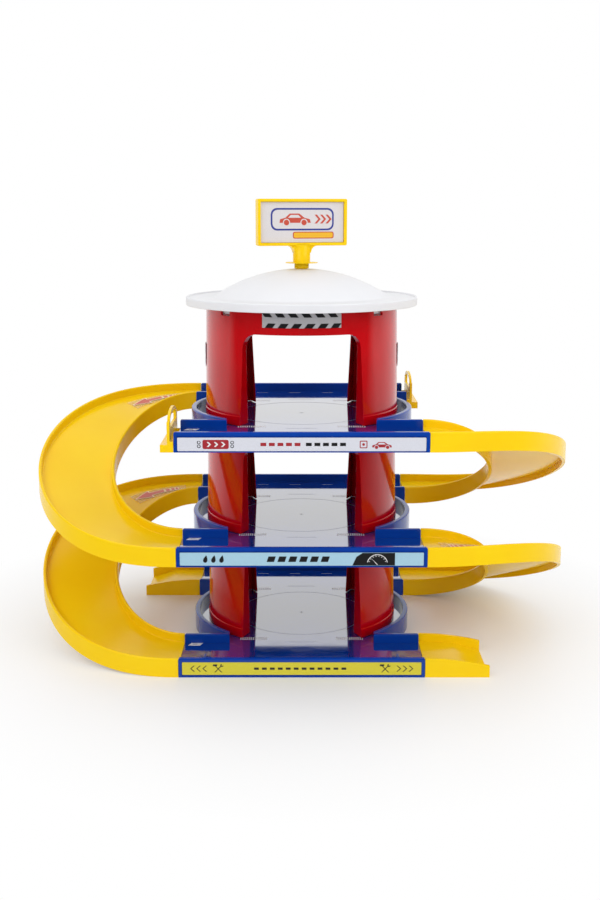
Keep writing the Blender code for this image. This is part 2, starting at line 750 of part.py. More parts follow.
def end_stop_mesh():
    # A short tray past the front lane's end at X = 0, with an arched gate across it.
    # Past the gate, towards -X, it drops to a flat ledge.
    low = (-STOP_LENGTH, -LANE_OUTER, 0.0)
    tray = helper("stop_tray", box("stop_tray", low, (0.0, -LANE_INNER, STOP_HEIGHT)))
    inside = [RAMP_WALL - LANE_OUTER, -LANE_INNER - RAMP_WALL]
    floor_top = STOP_HEIGHT - STOP_FLOOR_DROP
    sheet = ROAD_THICKNESS - CLEAR / 2
    above = STOP_HEIGHT + CLEAR
    beyond = -STOP_LENGTH - CLEAR
    spaces = (
        ((beyond, -LANE_OUTER - CLEAR, STOP_LEDGE), (-GATE_POSITION, CLEAR - LANE_INNER, above)),
        ((-GATE_POSITION - CLEAR / 2, inside[0], floor_top), (CLEAR, inside[1], above)),
        ((RAMP_WALL - STOP_LENGTH, inside[0], -CLEAR), (CLEAR, inside[1], STOP_LEDGE - sheet)),
        ((-GATE_POSITION, inside[0], 0.0), (CLEAR, inside[1], floor_top - sheet)),
    )
    for start, end in spaces:
        combine(tray, "DIFFERENCE", helper("stop_space", box("stop_space", start, end)))
    plate = flat_solid("gate", gate_outline(), -GATE_THICKNESS / 2, GATE_THICKNESS / 2)
    window = flat_solid("gate_window", gate_window(), -GATE_THICKNESS, GATE_THICKNESS)
    stand = Matrix.Translation((-GATE_POSITION, -LANE_MIDDLE, 0.0)) @ Matrix.Rotation(math.pi / 2, 4, "Z")
    gate = helper("gate_plate", turned(standing(plate), stand))
    combine(gate, "DIFFERENCE", helper("gate_window", turned(standing(window), stand)))
    under = box(
        "gate_trim",
        (-STOP_LENGTH, inside[0], -CLEAR),
        (CLEAR, inside[1], STOP_LEDGE - CLEAR / 2),
    )
    combine(gate, "DIFFERENCE", helper("gate_trim", under))
    combine(tray, "UNION", gate)
    ends = helper("stop_tongues", turned(tongues(1), Matrix.Translation((0, -2 * LANE_MIDDLE, 0))))
    over = box(
        "root_trim", (-STOP_LENGTH, -LANE_OUTER, STOP_LEDGE - GAP), (-GATE_POSITION, -LANE_INNER, above)
    )
    combine(ends, "DIFFERENCE", helper("root_trim", over))
    combine(tray, "UNION", ends)
    return baked("end_stop", tray)


def strip_mesh(radius, bottom, top, half_angle, middle, steps):
    outer = radius + LABEL_THICKNESS
    section = [(radius, bottom), (outer, bottom), (outer, top), (radius, top)]
    return swept("strip", section, middle - half_angle, 2 * half_angle, steps)


def build_decks():
    mesh = deck_mesh()
    for tier, name in enumerate(TIERS):
        add_piece("deck_" + name, mesh, BLUE, (0, 0, tier * TIER_PITCH))


def build_tower():
    storey = storey_mesh(STOREY_HEIGHT)
    for tier in (0, 1):
        add_piece("tower_" + TIERS[tier], storey, RED, (0, 0, tier * TIER_PITCH + STOREY_FOOT))
    top_storey = storey_mesh(TOP_STOREY_HEIGHT)
    add_piece("tower_upper", top_storey, RED, (0, 0, 2 * TIER_PITCH + STOREY_FOOT))


def build_roof_and_sign():
    add_piece("roof_dome", roof_mesh(), WHITE)
    swivel = bpy.data.objects.new("sign_swivel_axis", None)
    PARTS.objects.link(swivel)
    swivel.rotation_euler = (0.0, 0.0, SIGN_TURN)
    add_piece("sign_frame", sign_frame_mesh(), YELLOW).parent = swivel
    half = SIGN_WIDTH / 2 - SIGN_BORDER - GAP
    face_y = SIGN_RECESS - SIGN_DEPTH / 2 - GAP
    face = box(
        "sign_face",
        (-half, face_y - LABEL_THICKNESS, SIGN_BOTTOM + SIGN_BORDER + GAP),
        (half, face_y, SIGN_BOTTOM + SIGN_HEIGHT - SIGN_BORDER - GAP),
    )
    add_piece("sign_face_front", face, SIGN_PALE).parent = swivel
    add_piece("sign_face_back", face, SIGN_PALE, turn=math.pi).parent = swivel


def build_ramps():
    ramp = ramp_mesh()
    grid = math.pi / RAMP_STEPS
    middle = LANE_MIDDLE
    half = ARROW_LABEL_WIDTH / 2
    floor = ROAD_TOP + GAP
    section = [(middle - half, floor), (middle + half, floor)]
    section += [(middle + half, floor + LABEL_THICKNESS), (middle - half, floor + LABEL_THICKNESS)]

    def lowered(t, radius):
        return ramp_drop((t * ARROW_LABEL_STEPS + 1) / RAMP_STEPS, radius)

    sweep = ARROW_LABEL_STEPS * grid
    arrow = swept("arrow_label", section, math.pi / 2 + grid, sweep, ARROW_LABEL_STEPS, lowered)
    for level, tier in (("lower", 1), ("upper", 2)):
        for side, sign, turn in (("left", -1, 0.0), ("right", 1, math.pi)):
            place = (sign * (DECK_HALF_WIDTH + GAP), 0.0, tier * TIER_PITCH)
            add_piece("ramp_" + side + "_" + level, ramp, YELLOW, place, turn)
            add_piece("ramp_arrow_" + side + "_" + level, arrow, LABEL_RED, place, turn)


def build_lane_ends():
    exit_ramp = exit_ramp_mesh()
    place = DECK_HALF_WIDTH + GAP
    add_piece("exit_ramp_front", exit_ramp, YELLOW, (place, 0, 0))
    add_piece("exit_ramp_back", exit_ramp, YELLOW, (-place, 0, 0), math.pi)
    stop = end_stop_mesh()
    stop_height = 2 * TIER_PITCH
    add_piece("end_stop_front", stop, YELLOW, (-place, 0, stop_height))
    add_piece("end_stop_back", stop, YELLOW, (place, 0, stop_height), math.pi)


def build_labels():
    styles = (LABEL_YELLOW, LABEL_BLUE, LABEL_PALE)
    half = DECK_HALF_WIDTH - LABEL_RECESS_BORDER - GAP
    back = LABEL_RECESS_DEPTH - LANE_OUTER - GAP
    for tier, name in enumerate(TIERS):
        bottom = FASCIA_LABEL_BOTTOMS[tier]
        low = (-half, back - LABEL_THICKNESS, bottom)
        label = box("fascia_label", low, (half, back, bottom + FASCIA_LABEL_HEIGHT))
        height = tier * TIER_PITCH
        add_piece("fascia_label_" + name + "_front", label, styles[tier], (0, 0, height))
        add_piece("fascia_label_" + name + "_back", label, styles[tier], (0, 0, height), math.pi)
    radius = TOWER_TOP_RADIUS + 2 * GAP
    bottom = LINTEL_LABEL_BOTTOM - STOREY_FOOT
    top = LINTEL_LABEL_TOP - STOREY_FOOT
    lintel = strip_mesh(radius, bottom, top, LINTEL_LABEL_HALF_ANGLE, -math.pi / 2, 6)
    side_radius = tower_radius(SIDE_LABEL_BOTTOM, TOP_STOREY_HEIGHT) + GAP
    side = strip_mesh(side_radius, SIDE_LABEL_BOTTOM, SIDE_LABEL_TOP, SIDE_LABEL_HALF_ANGLE, 0.0, 2)
    foot = (0, 0, 2 * TIER_PITCH + STOREY_FOOT)
    add_piece("lintel_label_front", lintel, LABEL_PALE, foot)
    add_piece("lintel_label_back", lintel, LABEL_PALE, foot, math.pi)
    add_piece("side_label_right", side, LABEL_PALE, foot)
    add_piece("side_label_left", side, LABEL_PALE, foot, math.pi)


clear_scene()
PARTS = new_collection("toy_parking_garage")
CUTTERS = new_collection("cutters")
CUTTERS.hide_render = True
build_decks()
build_tower()
build_roof_and_sign()
build_ramps()
build_lane_ends()
build_labels()
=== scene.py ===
# Toy parking garage: refined pieces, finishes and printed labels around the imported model
import math

import bmesh
import bpy
from mathutils import Matrix, Vector


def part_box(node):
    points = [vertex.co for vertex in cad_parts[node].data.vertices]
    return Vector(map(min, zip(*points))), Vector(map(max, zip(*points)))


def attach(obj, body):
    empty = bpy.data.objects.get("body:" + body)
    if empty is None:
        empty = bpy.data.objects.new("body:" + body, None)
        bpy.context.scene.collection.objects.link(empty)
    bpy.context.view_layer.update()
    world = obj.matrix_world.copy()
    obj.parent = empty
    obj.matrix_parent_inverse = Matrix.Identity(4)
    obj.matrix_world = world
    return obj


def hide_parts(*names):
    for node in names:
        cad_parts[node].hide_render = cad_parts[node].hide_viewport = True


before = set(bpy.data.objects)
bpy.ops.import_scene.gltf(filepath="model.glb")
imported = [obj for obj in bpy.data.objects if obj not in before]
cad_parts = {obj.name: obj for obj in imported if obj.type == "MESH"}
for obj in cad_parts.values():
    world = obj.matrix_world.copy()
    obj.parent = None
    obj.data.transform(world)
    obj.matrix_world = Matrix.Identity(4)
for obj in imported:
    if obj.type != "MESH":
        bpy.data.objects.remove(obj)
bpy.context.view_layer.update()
print("stage: frame loaded")

gap = 0.0003            # between pieces that touch
clear = 0.001           # how far a cutter reaches past what it cuts
mergeDistance = 1e-6    # corners closer than this are one
sliver = 0.00008        # edges shorter than this are left over from cutting
roundedFrom = 40        # degrees from which an edge is rounded
halfTurn = Matrix.Rotation(math.pi, 4, "Z")
tiers = ("lower", "middle", "upper")

deckLow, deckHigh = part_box("deck_lower")
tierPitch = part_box("deck_middle")[0].z - deckLow.z
deckHalfWidth = deckHigh.x
laneOuter = deckHigh.y
wallHeight = deckHigh.z
laneWidth = 0.0554
laneInner = laneOuter - laneWidth
laneMiddle = laneOuter - laneWidth / 2
roadTop = 0.008
roadBottom = 0.0055
storeyFoot = roadTop + gap
jointPlane = deckHalfWidth + gap        # where ramps, exit ramps and end stops meet the decks


# Camera

cameraLook = {
    "place": (-0.0013, -0.9525, 0.3465),
    "downDegrees": 11.655,
    "lens": 46.66,
    "sensor": 36.0,
    "clipStart": 0.01,
}


def makeCamera():
    data = bpy.data.cameras.new("camera")
    data.lens = cameraLook["lens"]
    data.sensor_width = cameraLook["sensor"]
    data.clip_start = cameraLook["clipStart"]
    obj = bpy.data.objects.new("camera", data)
    obj.location = cameraLook["place"]
    obj.rotation_euler = (math.radians(90 - cameraLook["downDegrees"]), 0, 0)
    bpy.context.scene.collection.objects.link(obj)
    bpy.context.scene.camera = obj


# Materials: moulded plastic and printed film

plastics = {
    "bluePlastic": {
        "colour": (0.001, 0.050, 0.370), "deep": (0.001, 0.040, 0.320),
        "roughness": (0.10, 0.20), "ior": 1.42, "coat": 0.1, "coatIor": 1.4, "glow": 0.0,
    },
    "blueRoad": {               # the same moulding, polished where the vehicles run
        "colour": (0.001, 0.048, 0.355), "deep": (0.001, 0.036, 0.290),
        "roughness": (0.05, 0.13), "ior": 2.2, "coat": 1.0, "coatIor": 2.2, "glow": 0.0,
    },
    "redPlastic": {
        "colour": (0.600, 0.001, 0.005), "deep": (0.500, 0.001, 0.004),
        "roughness": (0.08, 0.16), "ior": 1.45, "coat": 0.1, "coatIor": 1.4, "glow": 0.0,
    },
    "yellowPlastic": {
        "colour": (0.985, 0.665, 0.004), "deep": (0.970, 0.630, 0.003),
        "roughness": (0.21, 0.25), "ior": 1.29, "coat": 0.05, "coatIor": 1.4, "glow": 0.06,
    },
    "whitePlastic": {
        "colour": (0.825, 0.830, 0.860), "deep": (0.800, 0.808, 0.838),
        "roughness": (0.42, 0.48), "ior": 1.40, "coat": 0.0, "coatIor": 1.5, "glow": 0.0,
    },
}

films = {
    "filmPale": (0.720, 0.735, 0.810),
    "filmBlue": (0.400, 0.640, 0.780),
    "filmYellow": (0.720, 0.630, 0.035),
    "filmSign": (0.760, 0.725, 0.735),
    "filmGrey": (0.500, 0.500, 0.520),
    "inkBlack": (0.012, 0.012, 0.014),
    "inkRed": (0.420, 0.020, 0.030),
    "inkArrow": (0.640, 0.085, 0.050),
    "inkWhite": (0.850, 0.850, 0.860),
    "inkBlue": (0.030, 0.050, 0.330),
    "inkPeach": (0.930, 0.740, 0.480),
    "inkOrange": (0.950, 0.520, 0.020),
    "inkRoadLine": (0.560, 0.580, 0.680),
}

plasticLook = {
    "driftScale": 22.0, "driftEnds": (0.35, 0.65),
    "rubScale": 60.0, "rubStretch": (1.0, 2.0, 1.0), "rubEnds": (0.4, 0.75),
    "peelScale": 900.0, "peelStrength": 0.1, "peelHeight": 0.000003,
    "coatRoughness": 0.04, "glowRadii": (1.0, 0.6, 0.3), "glowDepth": 0.002,
}

filmLook = {
    "grainScale": 1500.0, "grainEnds": (0.3, 0.7), "grainShade": 0.93,
    "grainStrength": 0.2, "grainHeight": 0.00002, "roughness": (0.28, 0.40),
    "clearColour": (0.900, 0.700, 0.350), "clearAlpha": 0.22,
}


def nodeOf(tree, kind, place, **values):
    node = tree.nodes.new(kind)
    node.location = place
    for name, value in values.items():
        node.inputs[name.replace("_", " ")].default_value = value
    return node


def noiseOf(tree, coordinates, place, scale, detail, stretch=(1, 1, 1)):
    mapping = nodeOf(tree, "ShaderNodeMapping", (place[0] - 200, place[1]), Scale=stretch)
    noise = nodeOf(tree, "ShaderNodeTexNoise", place, Scale=scale, Detail=detail)
    tree.links.new(coordinates.outputs["Object"], mapping.inputs["Vector"])
    tree.links.new(mapping.outputs["Vector"], noise.inputs["Vector"])
    return noise.outputs["Fac"]


def rangeOf(tree, source, place, fromLow, fromHigh, toLow, toHigh):
    node = nodeOf(tree, "ShaderNodeMapRange", place)
    for index, value in enumerate((fromLow, fromHigh, toLow, toHigh), 1):
        node.inputs[index].default_value = value
    tree.links.new(source, node.inputs[0])
    return node.outputs[0]


def newFinish(name):
    material = bpy.data.materials.new(name)
    material.use_nodes = True
    tree = material.node_tree
    return material, tree, tree.nodes["Principled BSDF"], nodeOf(tree, "ShaderNodeTexCoord", (-1100, 0))


def tintFrom(tree, shader, source, ends, deep, colour):
    # The surface wanders between two colours
    mix = nodeOf(tree, "ShaderNodeMix", (-350, 300))
    mix.data_type = "RGBA"
    mix.inputs[6].default_value = (*deep, 1)
    mix.inputs[7].default_value = (*colour, 1)
    tree.links.new(rangeOf(tree, source, (-520, 300), *ends, 0.0, 1.0), mix.inputs["Factor"])
    tree.links.new(mix.outputs[2], shader.inputs["Base Color"])


def reliefFrom(tree, shader, source, strength, height):
    bump = nodeOf(tree, "ShaderNodeBump", (-350, -300), Strength=strength, Distance=height)
    tree.links.new(source, bump.inputs["Height"])
    tree.links.new(bump.outputs["Normal"], shader.inputs["Normal"])


def mouldedPlastic(name, look):
    # Slow colour drift from the mould, fine orange peel, and rub marks that only show in the gloss
    shared = plasticLook
    material, tree, shader, coordinates = newFinish(name)
    drift = noiseOf(tree, coordinates, (-700, 300), shared["driftScale"], 3.0)
    tintFrom(tree, shader, drift, shared["driftEnds"], look["deep"], look["colour"])
    rub = noiseOf(tree, coordinates, (-700, 0), shared["rubScale"], 3.0, shared["rubStretch"])
    sheen = rangeOf(tree, rub, (-350, 0), *shared["rubEnds"], *look["roughness"])
    tree.links.new(sheen, shader.inputs["Roughness"])
    peel = noiseOf(tree, coordinates, (-700, -300), shared["peelScale"], 2.0)
    reliefFrom(tree, shader, peel, shared["peelStrength"], shared["peelHeight"])
    values = {
        "IOR": look["ior"], "Coat Weight": look["coat"], "Coat IOR": look["coatIor"],
        "Coat Roughness": shared["coatRoughness"],
    }
    if look["glow"]:
        values["Subsurface Weight"] = look["glow"]
        values["Subsurface Radius"] = shared["glowRadii"]
        values["Subsurface Scale"] = shared["glowDepth"]
    for socket, value in values.items():
        shader.inputs[socket].default_value = value
    return material


def printedFilm(name, colour):
    # Ink on film: a faint screen grain in the colour, and a soft sheen that the grain breaks up
    look = filmLook
    material, tree, shader, coordinates = newFinish(name)
    grain = noiseOf(tree, coordinates, (-700, 200), look["grainScale"], 2.0)
    tintFrom(tree, shader, grain, look["grainEnds"], [part * look["grainShade"] for part in colour], colour)
    sheen = rangeOf(tree, grain, (-350, 0), *look["grainEnds"], *look["roughness"])
    tree.links.new(sheen, shader.inputs["Roughness"])
    reliefFrom(tree, shader, grain, look["grainStrength"], look["grainHeight"])
    return material


def makeMaterials():
    made = {name: mouldedPlastic(name, look) for name, look in plastics.items()}
    made.update({name: printedFilm(name, colour) for name, colour in films.items()})
    made["filmClear"] = printedFilm("filmClear", filmLook["clearColour"])
    shader = made["filmClear"].node_tree.nodes["Principled BSDF"]
    shader.inputs["Alpha"].default_value = filmLook["clearAlpha"]
    return made


# Mesh helpers

def meshOf(bm, name):
    bmesh.ops.remove_doubles(bm, verts=bm.verts, dist=mergeDistance)
    bmesh.ops.recalc_face_normals(bm, faces=bm.faces)
    mesh = bpy.data.meshes.new(name)
    bm.to_mesh(mesh)
    bm.free()
    return mesh


def objectOf(name, mesh):
    obj = bpy.data.objects.new(name, mesh)
    bpy.context.scene.collection.objects.link(obj)
    return obj


def moved(mesh, matrix):
    copy = mesh.copy()
    copy.transform(matrix)
    return copy


def together(name, meshes):
    bm = bmesh.new()
    for mesh in meshes:
        bm.from_mesh(mesh)
    return meshOf(bm, name)


def block(name, low, high):
    bm = bmesh.new()
    size = Vector(high) - Vector(low)
    middle = (Vector(high) + Vector(low)) / 2
    bmesh.ops.create_cube(bm, size=1.0, matrix=Matrix.Translation(middle) @ Matrix.Diagonal((*size, 1)))
    return meshOf(bm, name)


def stacked(name, rings, closed=False):
    # A solid through rings of equally many points, capped at both ends unless it closes on itself
    bm = bmesh.new()
    made = [[bm.verts.new(point) for point in ring] for ring in rings]
    pairs = list(zip(made, made[1:])) + ([(made[-1], made[0])] if closed else [])
    count = len(made[0])
    for below, above in pairs:
        for i in range(count):
            j = (i + 1) % count
            bm.faces.new((below[i], below[j], above[j], above[i]))
    if not closed:
        bm.faces.new(list(reversed(made[0])))
        bm.faces.new(made[-1])
    return meshOf(bm, name)


def prism(name, outline, low, high):
    # A flat XY outline between two heights
    return stacked(name, [[(x, y, z) for x, y in outline] for z in (low, high)])


def uprightPrism(name, outline, low, high):
    # A flat XZ outline between two values of Y
    return stacked(name, [[(x, y, z) for x, z in outline] for y in (low, high)])


def turnedRing(profile, angle):
    return [(r * math.cos(angle), r * math.sin(angle), z) for r, z in profile]


def turnedRound(name, profile, steps):
    # A closed (radius, height) loop turned about Z
    rings = [turnedRing(profile, 2 * math.pi * i / steps) for i in range(steps)]
    return stacked(name, rings, closed=True)


def sweptRound(name, section, start, sweep, steps):
    # The same, only part of the way round
    return stacked(name, [turnedRing(section, start + sweep * i / steps) for i in range(steps + 1)])


def arcOf(centre, radius, start, end, count):
    points = []
    for i in range(count + 1):
        angle = start + (end - start) * i / count
        points.append((centre[0] + radius * math.cos(angle), centre[1] + radius * math.sin(angle)))
    return points


def rectangle(left, low, right, high):
    return [(left, low), (right, low), (right, high), (left, high)]


def roundedBox(left, low, right, high, corner, steps=4):
    centres = [(right - corner, low + corner, -90), (right - corner, high - corner, 0)]
    centres += [(left + corner, high - corner, 90), (left + corner, low + corner, 180)]
    points = []
    for x, z, start in centres:
        points += arcOf((x, z), corner, math.radians(start), math.radians(start + 90), steps)
    return points


def strips(left, right, halfWidthAt, count):
    # Short quads side by side, so that a long shape can follow a bend
    made = []
    for i in range(count):
        a = left + (right - left) * i / count
        b = left + (right - left) * (i + 1) / count
        made.append([(a, -halfWidthAt(a)), (b, -halfWidthAt(b)), (b, halfWidthAt(b)), (a, halfWidthAt(a))])
    return made


def bakedMesh(obj):
    bpy.context.view_layer.update()
    graph = bpy.context.evaluated_depsgraph_get()
    mesh = bpy.data.meshes.new_from_object(obj.evaluated_get(graph))
    bpy.data.objects.remove(obj, do_unlink=True)
    return mesh


def combined(first, steps):
    # Booleans in order, each a (operation, mesh) pair
    obj = objectOf("work", first)
    helpers = []
    for operation, mesh in steps:
        other = objectOf("cutter", mesh)
        modifier = obj.modifiers.new("step", "BOOLEAN")
        modifier.operation = operation
        modifier.solver = "EXACT"
        modifier.object = other
        helpers.append(other)
    mesh = bakedMesh(obj)
    for other in helpers:
        bpy.data.objects.remove(other, do_unlink=True)
    return mesh


def welded(mesh):
    # Slivers left by the cutting go, as they would hold back the rounding of the edges
    bm = bmesh.new()
    bm.from_mesh(mesh)
    bmesh.ops.remove_doubles(bm, verts=bm.verts, dist=sliver)
    bmesh.ops.dissolve_degenerate(bm, edges=bm.edges, dist=sliver)
    bm.to_mesh(mesh)
    bm.free()
    return mesh


def softened(mesh, width, segments=2, clamp=True):
    # Rounded edges, with the large faces keeping their own shading
    obj = objectOf("soften", mesh)
    if width:
        bevel = obj.modifiers.new("edges", "BEVEL")
        bevel.width = width
        bevel.segments = segments
        bevel.limit_method = "ANGLE"
        bevel.angle_limit = math.radians(roundedFrom)
        bevel.use_clamp_overlap = clamp
    mesh.shade_smooth()
    weighted = obj.modifiers.new("shading", "WEIGHTED_NORMAL")
    weighted.keep_sharp = True
    return bakedMesh(obj)


def shaded(mesh, angle=30):
    mesh.shade_smooth()
    mesh.set_sharp_from_angle(angle=math.radians(angle))
    return softened(mesh, 0)


def withMaterial(mesh, name):
    mesh.materials.clear()
    mesh.materials.append(materials[name])
    return mesh


def merged(name, meshes):
    # Keeps each mesh's own materials
    obj = objectOf(name, meshes[0].copy())
    every = [obj] + [objectOf("other", mesh.copy()) for mesh in meshes[1:]]
    with bpy.context.temp_override(active_object=obj, object=obj, selected_editable_objects=every):
        bpy.ops.object.join()
    mesh = obj.data.copy()
    bpy.data.objects.remove(obj, do_unlink=True)
    return mesh


def pieceOf(name, mesh, body, replaced, matrix=None):
    piece = objectOf(name, moved(mesh, matrix or Matrix.Identity(4)))
    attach(piece, body)
    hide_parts(replaced)


def pairOf(name, mesh, body, replaced, matrix, sides=("front", "back")):
    # The same piece twice, half a turn apart
    for side, place in zip(sides, (matrix, halfTurn @ matrix)):
        pieceOf(name + "_" + side, mesh, body, replaced + "_" + side, place)


# Geometry Nodes: a row of marks, and the ramps' way down

def newTree(name, sockets):
    tree = bpy.data.node_groups.new(name, "GeometryNodeTree")
    tree.interface.new_socket("Geometry", in_out="INPUT", socket_type="NodeSocketGeometry")
    for label, kind in sockets:
        tree.interface.new_socket(label, in_out="INPUT", socket_type=kind)
    tree.interface.new_socket("Geometry", in_out="OUTPUT", socket_type="NodeSocketGeometry")
    return tree, tree.nodes.new("NodeGroupInput"), tree.nodes.new("NodeGroupOutput")


def calc(tree, operation, first, second=None):
    node = tree.nodes.new("ShaderNodeMath")
    node.operation = operation
    for index, value in enumerate((first, second)):
        if isinstance(value, (int, float)):
            node.inputs[index].default_value = value
        elif value is not None:
            tree.links.new(value, node.inputs[index])
    return node.outputs[0]


def endTree(tree, geometry, given, out):
    realize = tree.nodes.new("GeometryNodeRealizeInstances")
    paint = tree.nodes.new("GeometryNodeSetMaterial")
    tree.links.new(geometry, realize.inputs["Geometry"])
    tree.links.new(realize.outputs["Geometry"], paint.inputs["Geometry"])
    tree.links.new(given.outputs["Finish"], paint.inputs["Material"])
    tree.links.new(paint.outputs["Geometry"], out.inputs["Geometry"])


def rowTree():
    sockets = [
        ("Count", "NodeSocketInt"), ("Start", "NodeSocketVector"),
        ("Step", "NodeSocketVector"), ("Finish", "NodeSocketMaterial"),
    ]
    tree, given, out = newTree("rowOfMarks", sockets)
    line = tree.nodes.new("GeometryNodeMeshLine")
    line.mode = "OFFSET"
    scatter = tree.nodes.new("GeometryNodeInstanceOnPoints")
    tree.links.new(given.outputs["Count"], line.inputs["Count"])
    tree.links.new(given.outputs["Start"], line.inputs["Start Location"])
    tree.links.new(given.outputs["Step"], line.inputs["Offset"])
    tree.links.new(line.outputs["Mesh"], scatter.inputs["Points"])
    tree.links.new(given.outputs["Geometry"], scatter.inputs["Instance"])
    endTree(tree, scatter.outputs["Instances"], given, out)
    return tree


def descentTree():
    # share runs from 0 at the upper deck to 1 at the lower one, a half circle on. The inner wall comes
    # down sooner than the outer one, and the road leans between them
    names = ("Fall", "Outer Delay", "Inner Delay", "Widening", "Inner Half", "Inner Wall", "Outer Wall")
    sockets = [(name, "NodeSocketFloat") for name in names] + [("Finish", "NodeSocketMaterial")]
    tree, given, out = newTree("rampDescent", sockets)

    def times(first, second):
        return calc(tree, "MULTIPLY", first, second)

    def minus(first, second):
        return calc(tree, "SUBTRACT", first, second)

    split = tree.nodes.new("ShaderNodeSeparateXYZ")
    tree.links.new(tree.nodes.new("GeometryNodeInputPosition").outputs[0], split.inputs[0])
    x, y = split.outputs[0], split.outputs[1]
    margin = math.radians(1)
    angle = minus(calc(tree, "ARCTAN2", y, x), math.pi / 2 - margin)
    angle = minus(calc(tree, "FLOORED_MODULO", angle, 2 * math.pi), margin)
    share = calc(tree, "MAXIMUM", calc(tree, "DIVIDE", angle, math.pi), 0.0)
    # Both falls ease in and out: 10 t^3 - 15 t^4 + 6 t^5 outside, 3 t^2 - 2 t^3 inside
    late = calc(tree, "POWER", share, given.outputs["Outer Delay"])
    easing = calc(tree, "ADD", times(late, minus(times(late, 6.0), 15.0)), 10.0)
    outerDrop = times(calc(tree, "POWER", late, 3.0), easing)
    soon = calc(tree, "POWER", share, given.outputs["Inner Delay"])
    innerDrop = times(times(soon, soon), minus(3.0, times(soon, 2.0)))
    radius = calc(tree, "SQRT", calc(tree, "ADD", times(x, x), times(y, y)))
    onInner = calc(tree, "LESS_THAN", radius, given.outputs["Inner Half"])
    swing = times(calc(tree, "SINE", times(share, math.pi)), given.outputs["Widening"])
    pull = times(swing, onInner)
    inner = minus(given.outputs["Inner Wall"], swing)
    width = minus(given.outputs["Outer Wall"], inner)
    across = calc(tree, "DIVIDE", minus(minus(radius, pull), inner), width)
    curve = calc(tree, "ADD", innerDrop, times(minus(outerDrop, innerDrop), across))
    shrink = times(calc(tree, "DIVIDE", pull, radius), -1.0)
    offset = tree.nodes.new("ShaderNodeCombineXYZ")
    drop = times(times(curve, given.outputs["Fall"]), -1.0)
    for index, source in enumerate((times(x, shrink), times(y, shrink), drop)):
        tree.links.new(source, offset.inputs[index])
    place = tree.nodes.new("GeometryNodeSetPosition")
    tree.links.new(given.outputs["Geometry"], place.inputs["Geometry"])
    tree.links.new(offset.outputs[0], place.inputs["Offset"])
    endTree(tree, place.outputs["Geometry"], given, out)
    return tree


def throughTree(mesh, tree, values):
    obj = objectOf("grown", mesh)
    modifier = obj.modifiers.new("tree", "NODES")
    modifier.node_group = tree
    for item in tree.interface.items_tree:
        if item.in_out == "INPUT" and item.name in values:
            modifier[item.identifier] = values[item.name]
    return bakedMesh(obj)


# Decks

deckLook = {
    "curb": 0.0042, "skirt": 0.0022, "discRadius": 0.0905, "curbEnd": 0.0575,
    "rimRound": 0.0012, "roundSteps": 5, "discSteps": 48,
    "recessDepth": 0.0008, "recessBorder": 0.0024, "recessLow": 0.0008, "recessHigh": 0.0122,
    "tongueOffset": 0.012, "tongueWidth": 0.010,
}


def deckOutline(endX, outer, inner, radius, curbEnd=None):
    reach = curbEnd or math.sqrt(radius**2 - inner**2)
    tilt = math.acos(reach / radius)
    right = arcOf((0, 0), radius, -tilt, tilt, deckLook["discSteps"])
    leadIn = [(reach, -inner)] if curbEnd else []
    leadOut = [(reach, inner)] if curbEnd else []
    half = [(-endX, -outer), (endX, -outer), (endX, -inner), *leadIn, *right, *leadOut, (endX, inner)]
    opposite = [(-x, -y) for x, y in [*leadIn, *right, *leadOut]]
    return half + [(endX, outer), (-endX, outer), (-endX, inner), *opposite, (-endX, -inner)]


def slabRing(inset, height):
    outline = deckOutline(
        deckHalfWidth - inset, laneOuter - inset, laneInner + inset, deckLook["discRadius"] - inset
    )
    return [(x, y, height) for x, y in outline]


def roadRing(inset, height):
    outline = deckOutline(
        deckHalfWidth + clear, laneOuter - inset, laneInner + inset, deckLook["discRadius"] - inset,
        deckLook["curbEnd"] + deckLook["curb"] - inset,
    )
    return [(x, y, height) for x, y in outline]


def aroundTower(mesh):
    turn = towerLook["tabAngle"]
    angles = (turn, 180 - turn, 180 + turn, -turn)
    return together("around", [moved(mesh, Matrix.Rotation(math.radians(a), 4, "Z")) for a in angles])


